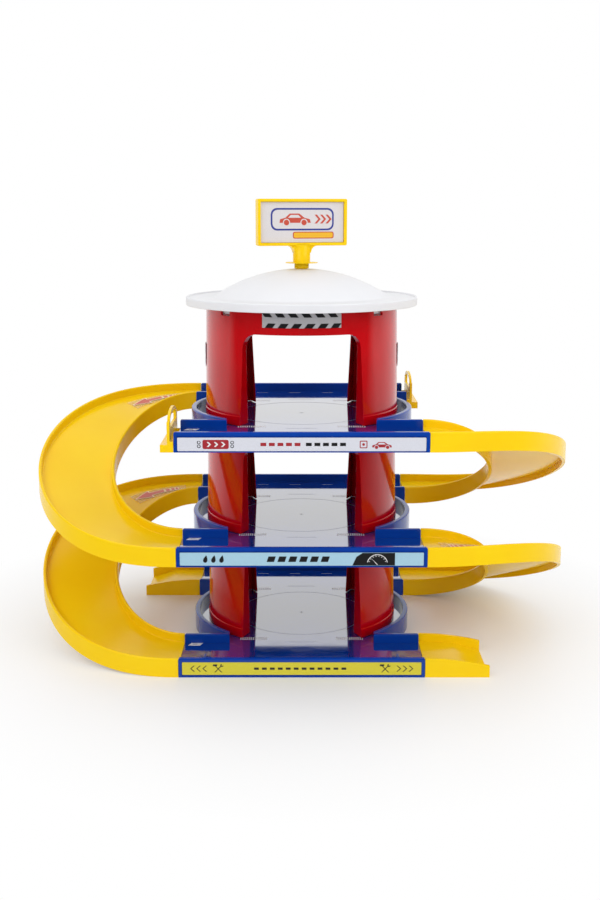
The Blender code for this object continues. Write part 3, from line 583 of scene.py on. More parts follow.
def deckMesh():
    rim, curb, skirt = deckLook["rimRound"], deckLook["curb"], deckLook["skirt"]
    shoulder = wallHeight - rim
    slab = [slabRing(0.0, 0.0), slabRing(0.0, shoulder)]
    road = [roadRing(curb, roadTop), roadRing(curb, shoulder)]
    for step in range(1, deckLook["roundSteps"] + 1):
        angle = math.pi / 2 * step / deckLook["roundSteps"]
        inset, height = rim * (1 - math.cos(angle)), shoulder + rim * math.sin(angle)
        slab.append(slabRing(inset, height))
        if step < deckLook["roundSteps"]:
            road.append(roadRing(curb - inset, height))
    road.append(roadRing(curb - rim, wallHeight + clear))
    hollow = stacked("hollow", [slabRing(skirt, -clear), slabRing(skirt, roadBottom)])
    recessEnd = deckHalfWidth - deckLook["recessBorder"]
    recess = block(
        "recess", (-recessEnd, -laneOuter - clear, deckLook["recessLow"]),
        (recessEnd, deckLook["recessDepth"] - laneOuter, deckLook["recessHigh"]),
    )
    notches = []
    for side in (-laneMiddle, laneMiddle):
        for offset in (-deckLook["tongueOffset"], deckLook["tongueOffset"]):
            half = deckLook["tongueWidth"] / 2 + gap
            low = (deckHalfWidth - 2 * skirt, side + offset - half, -clear)
            high = (deckHalfWidth + clear, side + offset + half, roadBottom - gap)
            notches.append(block("notch", low, high))
    notches += [moved(notch, halfTurn) for notch in notches]
    ringRadius = towerLook["topRadius"] + 2 * gap
    ring = [
        (ringRadius, rampLook["tongueBottom"]), (ringRadius, roadBottom + clear),
        (ringRadius + skirt, roadBottom + clear), (ringRadius + skirt, rampLook["tongueBottom"]),
    ]
    tabRadius = towerLook["footRadius"] - towerLook["wall"] / 2
    inward = towerLook["tabThickness"] / 2 + gap
    across = towerLook["tabWidth"] / 2 + gap
    slot = block(
        "slot", (tabRadius - inward, -across, -clear), (tabRadius + inward, across, roadTop + clear),
    )
    mesh = combined(stacked("slab", slab), [
        ("DIFFERENCE", stacked("road", road)),
        ("DIFFERENCE", hollow),
        ("DIFFERENCE", together("recesses", [recess, moved(recess, halfTurn)])),
        ("DIFFERENCE", together("notches", notches)),
        ("UNION", turnedRound("ring", ring, towerLook["steps"])),
        ("DIFFERENCE", aroundTower(slot)),
    ])
    return shaded(mesh)


# Printed marks on the decks' roads

markLook = {
    "thickness": 0.00005, "lift": 0.00002,
    "tick": (0.0009, 0.0060), "tickStep": 0.0017, "tickCount": 13, "tickRowY": 0.0630, "tickRowX": 0.0285,
    "ringRadius": 0.0535, "ringWidth": 0.0003, "ringSteps": 96,
    "dashHalf": 0.0120, "dashWidth": 0.0004, "dashY": 0.0705, "laneY": 0.1080, "laneDash": 0.0100,
    "laneDashStart": -0.0710, "laneDashStep": 0.0300, "laneDashCount": 5,
    "crossSize": 0.0017, "crossWaist": 0.28,
    "corner": (-0.0900, -0.0785, -0.0805, -0.0730), "cornerLean": 0.0022,
    "cornerDash": (-0.0865, -0.0761, -0.0828, -0.0754),
}


def flatMark(outline):
    low = roadTop + markLook["lift"]
    return prism("mark", outline, low, low + markLook["thickness"])


def markRow(mark, count, start, step, finish):
    values = {"Count": count, "Start": (*start, 0), "Step": (step, 0, 0), "Finish": materials[finish]}
    return throughTree(mark.copy(), marksInRow, values)


def deckMarks():
    look = markLook
    width, height = look["tick"]
    tick = flatMark(rectangle(-width / 2, -height / 2, width / 2, height / 2))
    dash = flatMark(rectangle(0, -look["dashWidth"] / 2, look["laneDash"], look["dashWidth"] / 2))
    rowLength = (look["tickCount"] - 1) * look["tickStep"]
    rows = []
    for side in (-1, 1):
        for left in (-look["tickRowX"] - rowLength, look["tickRowX"]):
            start = (left, side * look["tickRowY"])
            rows.append(markRow(tick, look["tickCount"], start, look["tickStep"], "inkWhite"))
        start = (look["laneDashStart"], side * look["laneY"])
        rows.append(markRow(dash, look["laneDashCount"], start, look["laneDashStep"], "inkRoadLine"))
    return rows


def lineMarks():
    look = markLook
    low = roadTop + look["lift"]
    top = low + look["thickness"]
    radius, width = look["ringRadius"], look["ringWidth"]
    loop = [(radius, low), (radius + width, low), (radius + width, top), (radius, top)]
    ring = turnedRound("ringLine", loop, look["ringSteps"])
    long, half, away = look["dashHalf"], look["dashWidth"] / 2, look["dashY"]
    dashes = [flatMark(rectangle(-long, side * away - half, long, side * away + half)) for side in (-1, 1)]
    return together("lines", [ring, *dashes])


def crossMark():
    # A four-pointed star
    size = markLook["crossSize"]
    points = []
    for i in range(8):
        radius = size if i % 2 == 0 else size * markLook["crossWaist"]
        points.append((radius * math.cos(math.pi / 4 * i), radius * math.sin(math.pi / 4 * i)))
    return flatMark(points)


def cornerLabel():
    left, low, right, high = markLook["corner"]
    lean = markLook["cornerLean"]
    label = flatMark([(left, low), (right, low), (right + lean, high), (left + lean, high)])
    dash = flatMark(rectangle(*markLook["cornerDash"]))
    raised = moved(dash, Matrix.Translation((0, 0, markLook["thickness"])))
    return [withMaterial(label, "inkWhite"), withMaterial(raised, "inkBlack")]


def polishRoad(mesh):
    facingUp = 0.9          # how level a face of the road is
    mesh.materials.append(materials["blueRoad"])
    for face in mesh.polygons:
        if face.normal.z > facingUp and abs(face.center.z - roadTop) < clear / 2:
            face.material_index = 1
    return mesh


def makeDecks():
    shell = polishRoad(withMaterial(deckMesh(), "bluePlastic"))
    corner = cornerLabel()
    marks = [*deckMarks(), withMaterial(lineMarks(), "inkRoadLine"), withMaterial(crossMark(), "inkBlack")]
    marks += corner + [moved(mesh, halfTurn) for mesh in corner]
    mesh = merged("deck", [shell, *marks])
    for index, tier in enumerate(tiers):
        place = Matrix.Translation((0, 0, index * tierPitch))
        pieceOf("blue_deck_" + tier, mesh, "garage", "deck_" + tier, place)


# Tower storeys

towerLook = {
    "footRadius": 0.0786, "topRadius": 0.0773, "wall": 0.0022, "plinth": 0.007, "plinthStep": 0.0005,
    "frontHalfFoot": 0.0490, "backHalfFoot": 0.0440, "archHalfTop": 0.0458, "archTop": 0.0716,
    "archCorner": 0.0125, "archSteps": 12, "archDrop": 0.010, "archReach": (-0.090, -0.040),
    "archFrame": 0.0018, "flangeFoot": 0.0660, "flangeTop": 0.0722, "jambDepth": 0.0640, "jambTaper": 9.5,
    "tabAngle": 40, "tabWidth": 0.008, "tabThickness": 0.0014, "tabDrop": 0.0045,
    "notchWidth": 0.011, "notchHeight": 0.005, "steps": 144, "edge": 0.00025,
}


def radiusAt(height, storeyHeight):
    foot, top = towerLook["footRadius"], towerLook["topRadius"]
    return foot + (top - foot) * height / storeyHeight


def archPrism(halfFoot, grow):
    look = towerLook
    halfFoot += grow
    halfTop = look["archHalfTop"] + grow
    top = look["archTop"] + grow
    corner = look["archCorner"] + grow
    right = arcOf((halfTop - corner, top - corner), corner, 0.0, math.pi / 2, look["archSteps"])
    left = [(-x, z) for x, z in reversed(right)]
    outline = [(-halfFoot, -look["archDrop"]), (halfFoot, -look["archDrop"]), *right, *left]
    mesh = uprightPrism("arch", outline, *look["archReach"])
    for vert in mesh.vertices:
        vert.co.x *= 1 + look["jambTaper"] * (abs(vert.co.y) - look["jambDepth"])
    return mesh


def arches(grow):
    # The front doorway is wider at its foot than the back one
    back = archPrism(towerLook["backHalfFoot"], grow)
    return together("arches", [archPrism(towerLook["frontHalfFoot"], grow), moved(back, halfTurn)])


def storeyMesh(height):
    look = towerLook
    step = look["plinthStep"]
    wallTop = look["topRadius"]
    atPlinth = radiusAt(look["plinth"], height)
    shell = [
        (look["footRadius"] + step, 0.0), (atPlinth + step, look["plinth"]),
        (atPlinth, look["plinth"] + step), (wallTop, height),
        (wallTop - look["wall"], height), (look["footRadius"] - look["wall"], 0.0),
    ]
    bury = look["wall"] / 3
    flangeHigh = look["archTop"] + 2 * look["archFrame"]
    flange = [
        (look["footRadius"] - bury, gap), (wallTop - bury, flangeHigh),
        (look["flangeTop"], flangeHigh), (look["flangeFoot"], gap),
    ]
    frameRing = turnedRound("flange", flange, look["steps"])
    notch = block(
        "notch",
        (wallTop - 2 * look["wall"], -look["notchWidth"] / 2, height - look["notchHeight"]),
        (wallTop + clear, look["notchWidth"] / 2, height + clear),
    )
    tabRadius = look["footRadius"] - look["wall"] / 2
    tab = block(
        "tab",
        (tabRadius - look["tabThickness"] / 2, -look["tabWidth"] / 2, -look["tabDrop"]),
        (tabRadius + look["tabThickness"] / 2, look["tabWidth"] / 2, look["plinth"] / 2),
    )
    mesh = combined(turnedRound("shell", shell, look["steps"]), [
        ("UNION", combined(frameRing, [("INTERSECT", arches(look["archFrame"]))])),
        ("DIFFERENCE", arches(0.0)),
        ("DIFFERENCE", aroundTower(notch)),
        ("UNION", aroundTower(tab)),
    ])
    return softened(welded(mesh), look["edge"], clamp=False)


def makeTower():
    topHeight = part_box("tower_upper")[1].z - 2 * tierPitch - storeyFoot
    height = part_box("tower_lower")[1].z - storeyFoot
    plain = withMaterial(storeyMesh(height), "redPlastic")
    tall = withMaterial(storeyMesh(topHeight), "redPlastic")
    for index, tier in enumerate(tiers):
        place = Matrix.Translation((0, 0, index * tierPitch + storeyFoot))
        mesh = tall if tier == "upper" else plain
        pieceOf("red_storey_" + tier, mesh, "garage", "tower_" + tier, place)


# Roof

roofLook = {
    "brimBand": 0.0066, "lip": 0.0022, "lipRise": 0.0012, "domeRadius": 0.0723, "domeRise": 0.0228,
    "sheet": 0.0020, "bore": 0.0051, "boss": 0.0085, "bossDepth": 0.0055, "sleeve": 0.0040,
    "steps": 160, "domeSteps": 24, "lipSteps": 6,
}


def domeLine(startRadius, base, count):
    rise, radius = roofLook["domeRise"], roofLook["domeRadius"]
    sphere = (radius**2 + rise**2) / (2 * rise)
    points = []
    for i in range(count + 1):
        r = startRadius + (radius - startRadius) * i / count
        points.append((r, base + rise - sphere + math.sqrt(sphere**2 - r**2)))
    return points


def roofTop():
    look = roofLook
    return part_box("tower_upper")[1].z + gap + look["brimBand"] - look["lipRise"] + look["domeRise"]


def makeRoof():
    look = roofLook
    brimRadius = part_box("roof_dome")[1].x
    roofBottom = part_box("tower_upper")[1].z + gap
    plate = roofBottom + look["brimBand"] - look["lipRise"]
    domeTop = roofTop()
    under = plate - look["sheet"]
    lipTop = roofBottom + look["brimBand"]
    lip = look["lipRise"]
    sleeve = towerLook["topRadius"] - towerLook["wall"] - 2 * gap
    outside = towerLook["topRadius"] + deckLook["skirt"]
    profile = [
        *domeLine(look["bore"], plate, look["domeSteps"]),
        (brimRadius - look["lip"], plate),
        (brimRadius - look["lip"] + lip / 4, lipTop - lip / 4),
        (brimRadius - look["lip"] + lip / 2, lipTop),
        *arcOf((brimRadius - lip, lipTop - lip), lip, math.pi / 2, 0, look["lipSteps"]),
        (brimRadius, roofBottom + lip / 4),
        (brimRadius - lip / 4, roofBottom),
        (brimRadius - look["sheet"], roofBottom),
        (brimRadius - look["sheet"], under),
        (outside, under),
        (outside, roofBottom),
        (sleeve, roofBottom),
        (sleeve, roofBottom - look["sleeve"]),
        (sleeve - look["sheet"], roofBottom - look["sleeve"]),
        (sleeve - look["sheet"], under),
        *[(r, z - look["sheet"]) for r, z in reversed(domeLine(look["boss"], plate, look["domeSteps"]))],
        (look["boss"], domeTop - look["bossDepth"]),
        (look["bore"], domeTop - look["bossDepth"]),
    ]
    mesh = withMaterial(shaded(turnedRound("roof", profile, look["steps"]), 35), "whitePlastic")
    pieceOf("white_roof", mesh, "garage", "roof_dome")


# Sign

signLook = {
    "turnDegrees": 16, "width": 0.0740, "height": 0.0368, "depth": 0.0088, "border": 0.0023,
    "recess": 0.0026, "bottom": 0.3180, "corner": 0.0012, "cornerSteps": 5, "edge": 0.0004,
    "post": 0.0070, "postSteps": 64, "axis": 0.00001, "axisMerge": 0.00003,
    "flare": 0.0055, "flareHalf": 0.0035, "flareSteps": 12, "neck": 0.0058, "spigot": 0.0047,
    "snap": 0.0057, "snapRim": 0.0010, "snapHeight": 0.0040, "snapStep": 0.0008,
    "slitHalf": 0.0006, "slitReach": 0.010, "slitTop": 0.003,
    "collar": 0.0130, "collarThickness": 0.0006, "collarHeight": 0.3042,
}


def signBoard():
    look = signLook
    half = look["width"] / 2
    bottom = look["bottom"]
    top = bottom + look["height"]
    outline = roundedBox(-half, bottom, half, top, look["corner"], look["cornerSteps"])
    board = uprightPrism("board", outline, -look["depth"] / 2, look["depth"] / 2)
    recess = block(
        "recess",
        (look["border"] - half, -look["depth"] / 2 - clear, bottom + look["border"]),
        (half - look["border"], look["recess"] - look["depth"] / 2, top - look["border"]),
    )
    both = together("recesses", [recess, moved(recess, halfTurn)])
    return softened(combined(board, [("DIFFERENCE", both)]), look["edge"])


def signPost():
    # A flared post with its collar, and the split snap end that sits in the roof
    look = signLook
    bottom, flare = look["bottom"], look["flare"]
    root = bottom + clear / 2
    domeTop = roofTop()
    bossEnd = domeTop - roofLook["bossDepth"] - gap
    snapFoot = bossEnd - look["snapHeight"]
    right = arcOf((look["post"] + flare, bottom - flare), flare, math.pi, math.pi / 2, look["flareSteps"])
    left = [(-x, z) for x, z in reversed(right)]
    outline = [*right, (right[-1][0], root), (left[0][0], root), *left]
    flareMesh = uprightPrism("flare", outline, -look["flareHalf"], look["flareHalf"])
    collarTop = look["collarHeight"] + look["collarThickness"]
    profile = [
        (look["axis"], root), (look["post"], root), (look["post"], collarTop), (look["collar"], collarTop),
        (look["collar"], look["collarHeight"]), (look["neck"], look["collarHeight"]),
        (look["neck"], domeTop + gap), (look["spigot"], domeTop + gap), (look["spigot"], bossEnd),
        (look["snap"], bossEnd), (look["snap"], bossEnd - look["snapRim"]),
        (look["spigot"] - look["snapStep"], snapFoot), (look["axis"], snapFoot),
    ]
    bm = bmesh.new()
    bm.from_mesh(turnedRound("post", profile, look["postSteps"]))
    bmesh.ops.remove_doubles(bm, verts=bm.verts, dist=look["axisMerge"])        # closes it on the axis
    slit = block(
        "slit", (-look["slitHalf"], -look["slitReach"], bossEnd - look["slitReach"]),
        (look["slitHalf"], look["slitReach"], bossEnd + look["slitTop"]),
    )
    return shaded(combined(meshOf(bm, "post"), [("UNION", flareMesh), ("DIFFERENCE", slit)]))


def makeSign():
    turn = Matrix.Rotation(math.radians(signLook["turnDegrees"]), 4, "Z")
    frameMesh = combined(signBoard(), [("UNION", signPost())])
    mesh = withMaterial(shaded(frameMesh, 35), "yellowPlastic")
    pieceOf("yellow_sign", mesh, "sign", "sign_frame", turn)


# Ramps

rampLook = {
    "wall": 0.0026, "steps": 96, "widening": 0.0062, "outerDelay": 1.08, "innerDelay": 0.94,
    "fillet": 0.0009, "roundSteps": 6,
    "innerHalf": 0.0760, "tongueBottom": 0.0018, "tongueTop": 0.0047, "tongueLength": 0.006,
    "tongueRoot": 0.007,
}


def wallRound(outer, inner):
    # A half round over a wall, from the first radius to the second
    middle = (outer + inner) / 2
    half = (outer - inner) / 2
    rise = abs(half)
    points = []
    for i in range(rampLook["roundSteps"] * 2 + 1):
        angle = math.pi * i / (rampLook["roundSteps"] * 2)
        points.append((middle + half * math.cos(angle), wallHeight - rise + rise * math.sin(angle)))
    return points


def channelSection():
    wall, fillet = rampLook["wall"], rampLook["fillet"]
    inner, outer = laneInner, laneOuter
    count = 4
    outerFoot = arcOf((outer - wall - fillet, roadTop + fillet), fillet, 0, -math.pi / 2, count)
    innerFoot = arcOf((inner + wall + fillet, roadTop + fillet), fillet, -math.pi / 2, -math.pi, count)
    return [
        (inner, 0.0), (inner + wall, 0.0), (inner + wall, roadBottom), (outer - wall, roadBottom),
        (outer - wall, 0.0), (outer, 0.0), *wallRound(outer, outer - wall),
        *outerFoot, *innerFoot, *wallRound(inner + wall, inner),
    ]


def tongues(direction):
    # Two tongues at a joint plane at X = 0, in the +Y lane, reaching out along +X or -X
    look = rampLook
    made = []
    for offset in (-deckLook["tongueOffset"], deckLook["tongueOffset"]):
        low = laneMiddle + offset - deckLook["tongueWidth"] / 2
        high = low + deckLook["tongueWidth"]
        reach = block(
            "reach", (-look["tongueRoot"], low, look["tongueBottom"]),
            (look["tongueLength"], high, look["tongueTop"]),
        )
        root = block(
            "root", (-look["tongueRoot"], low + gap, look["tongueTop"] - clear),
            (-gap, high - gap, roadBottom + clear),
        )
        made.append(combined(reach, [("UNION", root)]))
    mesh = together("tongues", made)
    if direction < 0:
        bm = bmesh.new()
        bm.from_mesh(mesh)
        bmesh.ops.scale(bm, vec=(-1, 1, 1), verts=bm.verts)
        mesh = meshOf(bm, "tongues")
    return mesh


def frontTongues(direction, height=0):
    return moved(tongues(direction), Matrix.Translation((0, -2 * laneMiddle, height)))


def descentValues(**others):
    values = {
        "Fall": tierPitch, "Outer Delay": rampLook["outerDelay"], "Inner Delay": rampLook["innerDelay"],
        "Widening": rampLook["widening"], "Inner Wall": laneInner, "Outer Wall": laneOuter,
    }
    return {**values, **others}


def makeRamps():
    channel = sweptRound("channel", channelSection(), math.pi / 2, math.pi, rampLook["steps"])
    values = descentValues(**{"Inner Half": rampLook["innerHalf"], "Finish": materials["yellowPlastic"]})
    channel = throughTree(channel, descent, values)
    ends = together("ends", [tongues(1), frontTongues(1, -tierPitch)])
    mesh = withMaterial(shaded(combined(channel, [("UNION", ends)]), 35), "yellowPlastic")
    arrow = arrowOnRamp()
    for level, tier in (("lower", 1), ("upper", 2)):
        for side, sign in (("left", -1), ("right", 1)):
            place = Matrix.Translation((sign * jointPlane, 0, tier * tierPitch))
            if sign > 0:
                place = place @ halfTurn
            end = side + "_" + level
            pieceOf("yellow_ramp_" + end, mesh, "garage", "ramp_" + end, place)
            node = "ramp_arrow_" + end
            pieceOf("label_" + node, arrow, "garage", node, place)


# Arrow labels on the ramps

arrowLook = {
    "width": 0.020, "thickness": 0.0003, "inset": 0.0005, "printLift": 0.00006, "startDegrees": 7.5,
    "endDegrees": 37.5, "headStart": 0.003, "head": 0.0130, "headHalf": 0.0072, "tip": 0.0002,
    "tailHalf": 0.0030, "tailEnd": 0.0290, "overlap": 0.0002, "margin": 0.0011,
    "dashes": ((0.0310, 0.0345), (0.0362, 0.0388), (0.0402, 0.0420)), "filmSteps": 12, "printSteps": 6,
}


def onRamp(bm, outline, low, high, finish):
    # outline is (distance up the ramp from the label's lower end, distance out from the lane's middle)
    end = math.radians(arrowLook["endDegrees"])
    rings = []
    for height in (low, high):
        ring = []
        for along, across in outline:
            angle = math.pi / 2 + end - along / laneMiddle
            radius = laneMiddle + across
            ring.append(bm.verts.new((radius * math.cos(angle), radius * math.sin(angle), height)))
        rings.append(ring)
    count = len(outline)
    for i in range(count):
        j = (i + 1) % count
        bm.faces.new((rings[0][i], rings[0][j], rings[1][j], rings[1][i])).material_index = finish
    bm.faces.new(list(reversed(rings[0]))).material_index = finish
    bm.faces.new(rings[1]).material_index = finish


def arrowMesh():
    look = arrowLook
    floor = roadTop + gap
    top = floor + look["thickness"]
    lift = top + look["printLift"]
    length = math.radians(look["endDegrees"] - look["startDegrees"]) * laneMiddle
    headStart, inset, grow = look["headStart"], look["inset"], look["margin"]
    headEnd = headStart + look["head"]
    bm = bmesh.new()

    def filmHalf(at):
        return look["width"] / 2 - inset

    def headHalf(at):
        return max(look["headHalf"] * (at - headStart) / look["head"], look["tip"])

    def tailHalf(at):
        return look["tailHalf"]

    for quad in strips(inset, length - inset, filmHalf, look["filmSteps"]):
        onRamp(bm, quad, floor, top, 0)
    tails = [(headEnd - look["overlap"], look["tailEnd"]), *look["dashes"]]
    for start, end, half in [(headStart, headEnd, headHalf), *[(*tail, tailHalf) for tail in tails]]:
        def rimHalf(at, half=half):
            return half(at) + grow

        for quad in strips(start - grow, end + grow, rimHalf, look["printSteps"]):
            onRamp(bm, quad, top, lift, 1)
        for quad in strips(start, end, half, look["printSteps"]):
            onRamp(bm, quad, lift, lift + look["printLift"], 2)
    mesh = bpy.data.meshes.new("arrow")
    bmesh.ops.recalc_face_normals(bm, faces=bm.faces)
    bm.to_mesh(mesh)
    bm.free()
    return mesh


def arrowOnRamp():
    # The ramps' own tree bends the label, but leaves it its three finishes
    flat = arrowMesh()
    for name in ("filmClear", "inkPeach", "inkArrow"):
        flat.materials.append(materials[name])
    tree = descent.copy()
    nodes = {node.bl_idname: node for node in tree.nodes}
    realized = nodes["GeometryNodeRealizeInstances"].outputs["Geometry"]
    tree.links.new(realized, nodes["NodeGroupOutput"].inputs["Geometry"])
    tree.nodes.remove(nodes["GeometryNodeSetMaterial"])
    return throughTree(flat, tree, descentValues(**{"Inner Half": 0.0}))


# Exit ramps and end stops

exitLook = {
    "length": 0.0487, "flat": 0.0260, "tipWall": 0.0090, "tipFloor": 0.0008, "hollowRun": 0.013,
    "curveSteps": 12, "edge": 0.0004, "edgeSegments": 3,
}


def exitMesh():
    look = exitLook
    wall, length, flat = rampLook["wall"], look["length"], look["flat"]
    curve = []
    for i in range(look["curveSteps"] + 1):
        t = i / look["curveSteps"]
        rise = (wallHeight - look["tipWall"]) * t * (2 - t)
        curve.append((length * (1 - t), look["tipWall"] + rise))
    side = [(0.0, 0.0), (length, 0.0), *curve]
    past, top = length + clear, wallHeight + clear
    above = [
        (-clear, roadTop), (flat, roadTop), (length, look["tipFloor"]), (past, look["tipFloor"]),
        (past, top), (-clear, top),
    ]
    below = [(-clear, -clear), (flat + look["hollowRun"], -clear), (flat, roadBottom), (-clear, roadBottom)]
    low, high = -laneOuter + wall, -laneInner - wall
    mesh = combined(uprightPrism("exit", side, -laneOuter, -laneInner), [
        ("DIFFERENCE", uprightPrism("above", above, low, high)),
        ("DIFFERENCE", uprightPrism("below", below, low, high)),
        ("UNION", frontTongues(-1)),
    ])
    return softened(mesh, look["edge"], look["edgeSegments"])


stopLook = {
    "length": 0.0097, "height": 0.0080, "ledge": 0.0056, "floorDrop": 0.0015, "gatePlace": 0.0035,
    "gateThickness": 0.0020, "shoulder": 0.0224, "gateTop": 0.0292, "archHalf": 0.0225, "band": 0.0030,
    "sill": 0.0172, "archSteps": 40, "edge": 0.0003,
}


def halfOval(half, foot, top):
    points = []
    for i in range(stopLook["archSteps"] + 1):
        angle = math.pi * i / stopLook["archSteps"]
        points.append((half * math.cos(angle), foot + (top - foot) * math.sin(angle)))
    return points


def stopMesh():
    # A short tray with the gate across it. Past the gate it drops to a flat ledge
    look = stopLook
    wall = rampLook["wall"]
    low, high = -laneOuter + wall, -laneInner - wall
    floor = look["height"] - look["floorDrop"]
    sheet = roadTop - roadBottom - clear / 2
    above = look["height"] + clear
    half = laneWidth / 2
    thick = look["gateThickness"]
    shoulder = look["shoulder"]
    arch = halfOval(look["archHalf"], shoulder, look["gateTop"])
    outline = [(-half, 0), (half, 0), (half, shoulder), *arch, (-half, shoulder)]
    opening = look["archHalf"] - look["band"]
    openTop = halfOval(opening, shoulder, look["gateTop"] - look["band"])
    window = [(-opening, look["sill"]), (opening, look["sill"]), *openTop]
    across = Matrix.Translation((-look["gatePlace"], -laneMiddle, 0)) @ Matrix.Rotation(math.pi / 2, 4, "Z")
    under = block("under", (-look["length"], low, -clear), (clear, high, look["ledge"] - clear / 2))
    gate = combined(moved(uprightPrism("gate", outline, -thick / 2, thick / 2), across), [
        ("DIFFERENCE", moved(uprightPrism("window", window, -thick, thick), across)),
        ("DIFFERENCE", under),
    ])
    beyond = -look["length"] - clear
    place = -look["gatePlace"]
    spaces = [
        block("space", (beyond, -laneOuter - clear, look["ledge"]), (place, clear - laneInner, above)),
        block("space", (place - clear / 2, low, floor), (clear, high, above)),
        block("space", (wall - look["length"], low, -clear), (clear, high, look["ledge"] - sheet)),
        block("space", (place, low, 0), (clear, high, floor - sheet)),
    ]
    over = block("over", (-look["length"], -laneOuter, look["ledge"] - gap), (place, -laneInner, above))
    ends = combined(frontTongues(1), [("DIFFERENCE", over)])
    tray = block("tray", (-look["length"], -laneOuter, 0.0), (0.0, -laneInner, look["height"]))
    steps = [("DIFFERENCE", space) for space in spaces]
    return softened(combined(tray, [*steps, ("UNION", gate), ("UNION", ends)]), look["edge"])


def makeLaneEnds():
    exitRamp = withMaterial(exitMesh(), "yellowPlastic")
    stop = withMaterial(stopMesh(), "yellowPlastic")
    out = Matrix.Translation((jointPlane, 0, 0))
    pairOf("yellow_exit", exitRamp, "garage", "exit_ramp", out)
    up = Matrix.Translation((-jointPlane, 0, 2 * tierPitch))
    pairOf("yellow_stop", stop, "garage", "end_stop", up)


# Printed labels: every figure is a plain outline of (x, z), from the label's own middle

printLook = {"thickness": 0.0003, "lift": 0.00006, "corner": 0.0006}


def slanted(x, z, width, height, slant):
    return [(x, z), (x + width, z), (x + width + slant, z + height), (x + slant, z + height)]


def chevron(x, z, width, height, thick):
    top, middle = z + height, z + height / 2
    outside = [(x, z), (x + thick, z), (x + width + thick, middle), (x + thick, top)]
    return [*outside, (x, top), (x + width, middle)]


def disc(x, z, radius, count=28):
    return arcOf((x, z), radius, 0, 2 * math.pi * (count - 1) / count, count - 1)


def band(x, z, radius, width, start, end, count=24):
    outer = arcOf((x, z), radius, math.radians(start), math.radians(end), count)
    inner = arcOf((x, z), radius - width, math.radians(end), math.radians(start), count)
    return outer + inner


def flame(x, z, size, count=28):
    # A drop with a leaning tip
    points = []
    for i in range(count):
        angle = 2 * math.pi * i / count
        lift = (1 - math.cos(angle)) / 2
        wide = math.sin(angle) * (1 - 0.75 * lift**1.5)
        points.append((x + size * (0.36 * wide + 0.16 * lift**2), z + size * lift))
    return points


def rowOf(figure, ink, layer, count, x, step, *rest):
    # The same figure several times, one step apart
    return [(figure(x + step * i, *rest), ink, layer) for i in range(count)]


def carPrints(x, z, scale, ink, film):
    # A small car seen from the side, on a ground line at z
    body = [(0, 1.0), (0.2, 2.3), (2.2, 2.8), (3.8, 4.3), (7.4, 4.3), (9.4, 2.8), (11.4, 2.3), (11.8, 1.0)]
    window = [(3.2, 2.8), (4.2, 3.8), (7.0, 3.8), (8.1, 2.8)]
    prints = []
    for outline, finish, layer in ((body, ink, 0), (window, film, 1)):
        prints.append(([(x + a * scale, z + b * scale) for a, b in outline], finish, layer))
    for wheel in (2.6, 9.2):
        for radius, finish, layer in ((1.35, film, 1), (1.0, ink, 2)):
            prints.append((disc(x + wheel * scale, z + 1.1 * scale, radius * scale), finish, layer))
    return prints


def upperPrints():
    prints = [(roundedBox(-0.0720, -0.0034, -0.0530, 0.0034, 0.0012), "inkRed", 0)]
    prints += rowOf(chevron, "inkWhite", 1, 3, -0.0690, 0.0052, -0.0018, 0.0018, 0.0036, 0.0014)
    for side in (-0.0755, -0.0513):
        for z in (-0.0014, 0.0014):
            prints.append((band(side + 0.0008, z, 0.0013, 0.0005, 100, 440), "inkBlack", 0))
    for ink, left in (("inkRed", -0.030), ("inkBlack", 0.003)):
        prints += rowOf(slanted, ink, 0, 5, left, 0.0062, -0.0012, 0.0042, 0.0024, 0.0)
    prints.append((roundedBox(0.0420, -0.0028, 0.0476, 0.0028, 0.0008), "inkRed", 0))
    prints.append((roundedBox(0.0427, -0.0021, 0.0469, 0.0021, 0.0005), "filmPale", 1))
    prints.append((disc(0.0448, 0.0, 0.0010), "inkRed", 2))
    return prints + carPrints(0.0510, -0.0034, 0.00122, "inkRed", "filmPale")


def middlePrints():
    prints = rowOf(flame, "inkBlack", 0, 3, -0.0715, 0.0060, -0.0027, 0.0056)
    prints += rowOf(slanted, "inkBlack", 0, 6, -0.026, 0.0080, -0.0021, 0.0054, 0.0042, 0.0014)
    panel = [(0.0375, -0.0048), (0.0690, -0.0048), (0.0690, 0.0048), (0.0450, 0.0048), (0.0405, 0.0018)]
    prints.append((panel, "inkBlack", 0))
    return prints + dialPrints(0.0560, -0.0040)


def dialPrints(x, z):
    prints = [(band(x, z, 0.0078, 0.0005, 12, 168), "inkWhite", 1)]
    inner, outer, half = 0.0060, 0.0070, 0.0002
    for angle in range(20, 170, 20):
        turn = math.radians(angle)
        tick = []
        for radius, side in ((inner, half), (outer, half), (outer, -half), (inner, -half)):
            across, up = side * math.sin(turn), -side * math.cos(turn)
            tick.append((x + radius * math.cos(turn) + across, z + radius * math.sin(turn) + up))
        prints.append((tick, "inkWhite", 1))
    needle = [(x - 0.0004, z - 0.0002), (x + 0.0004, z - 0.0002), (x - 0.0048, z + 0.0050)]
    return prints + [(needle, "inkWhite", 1)]


def toolPrints(x, ink):
    # A spanner and a hammer, crossed
    prints = []
    for across in (-0.0026, 0.0026):
        prints.append((slanted(x - across - 0.0004, -0.0030, 0.0008, 0.0056, 2 * across), ink, 0))
    prints.append((band(x + 0.0028, 0.0026, 0.0012, 0.0006, 100, 350), ink, 1))
    prints.append((slanted(x - 0.0042, 0.0020, 0.0032, 0.0014, 0.0004), ink, 1))
    return prints


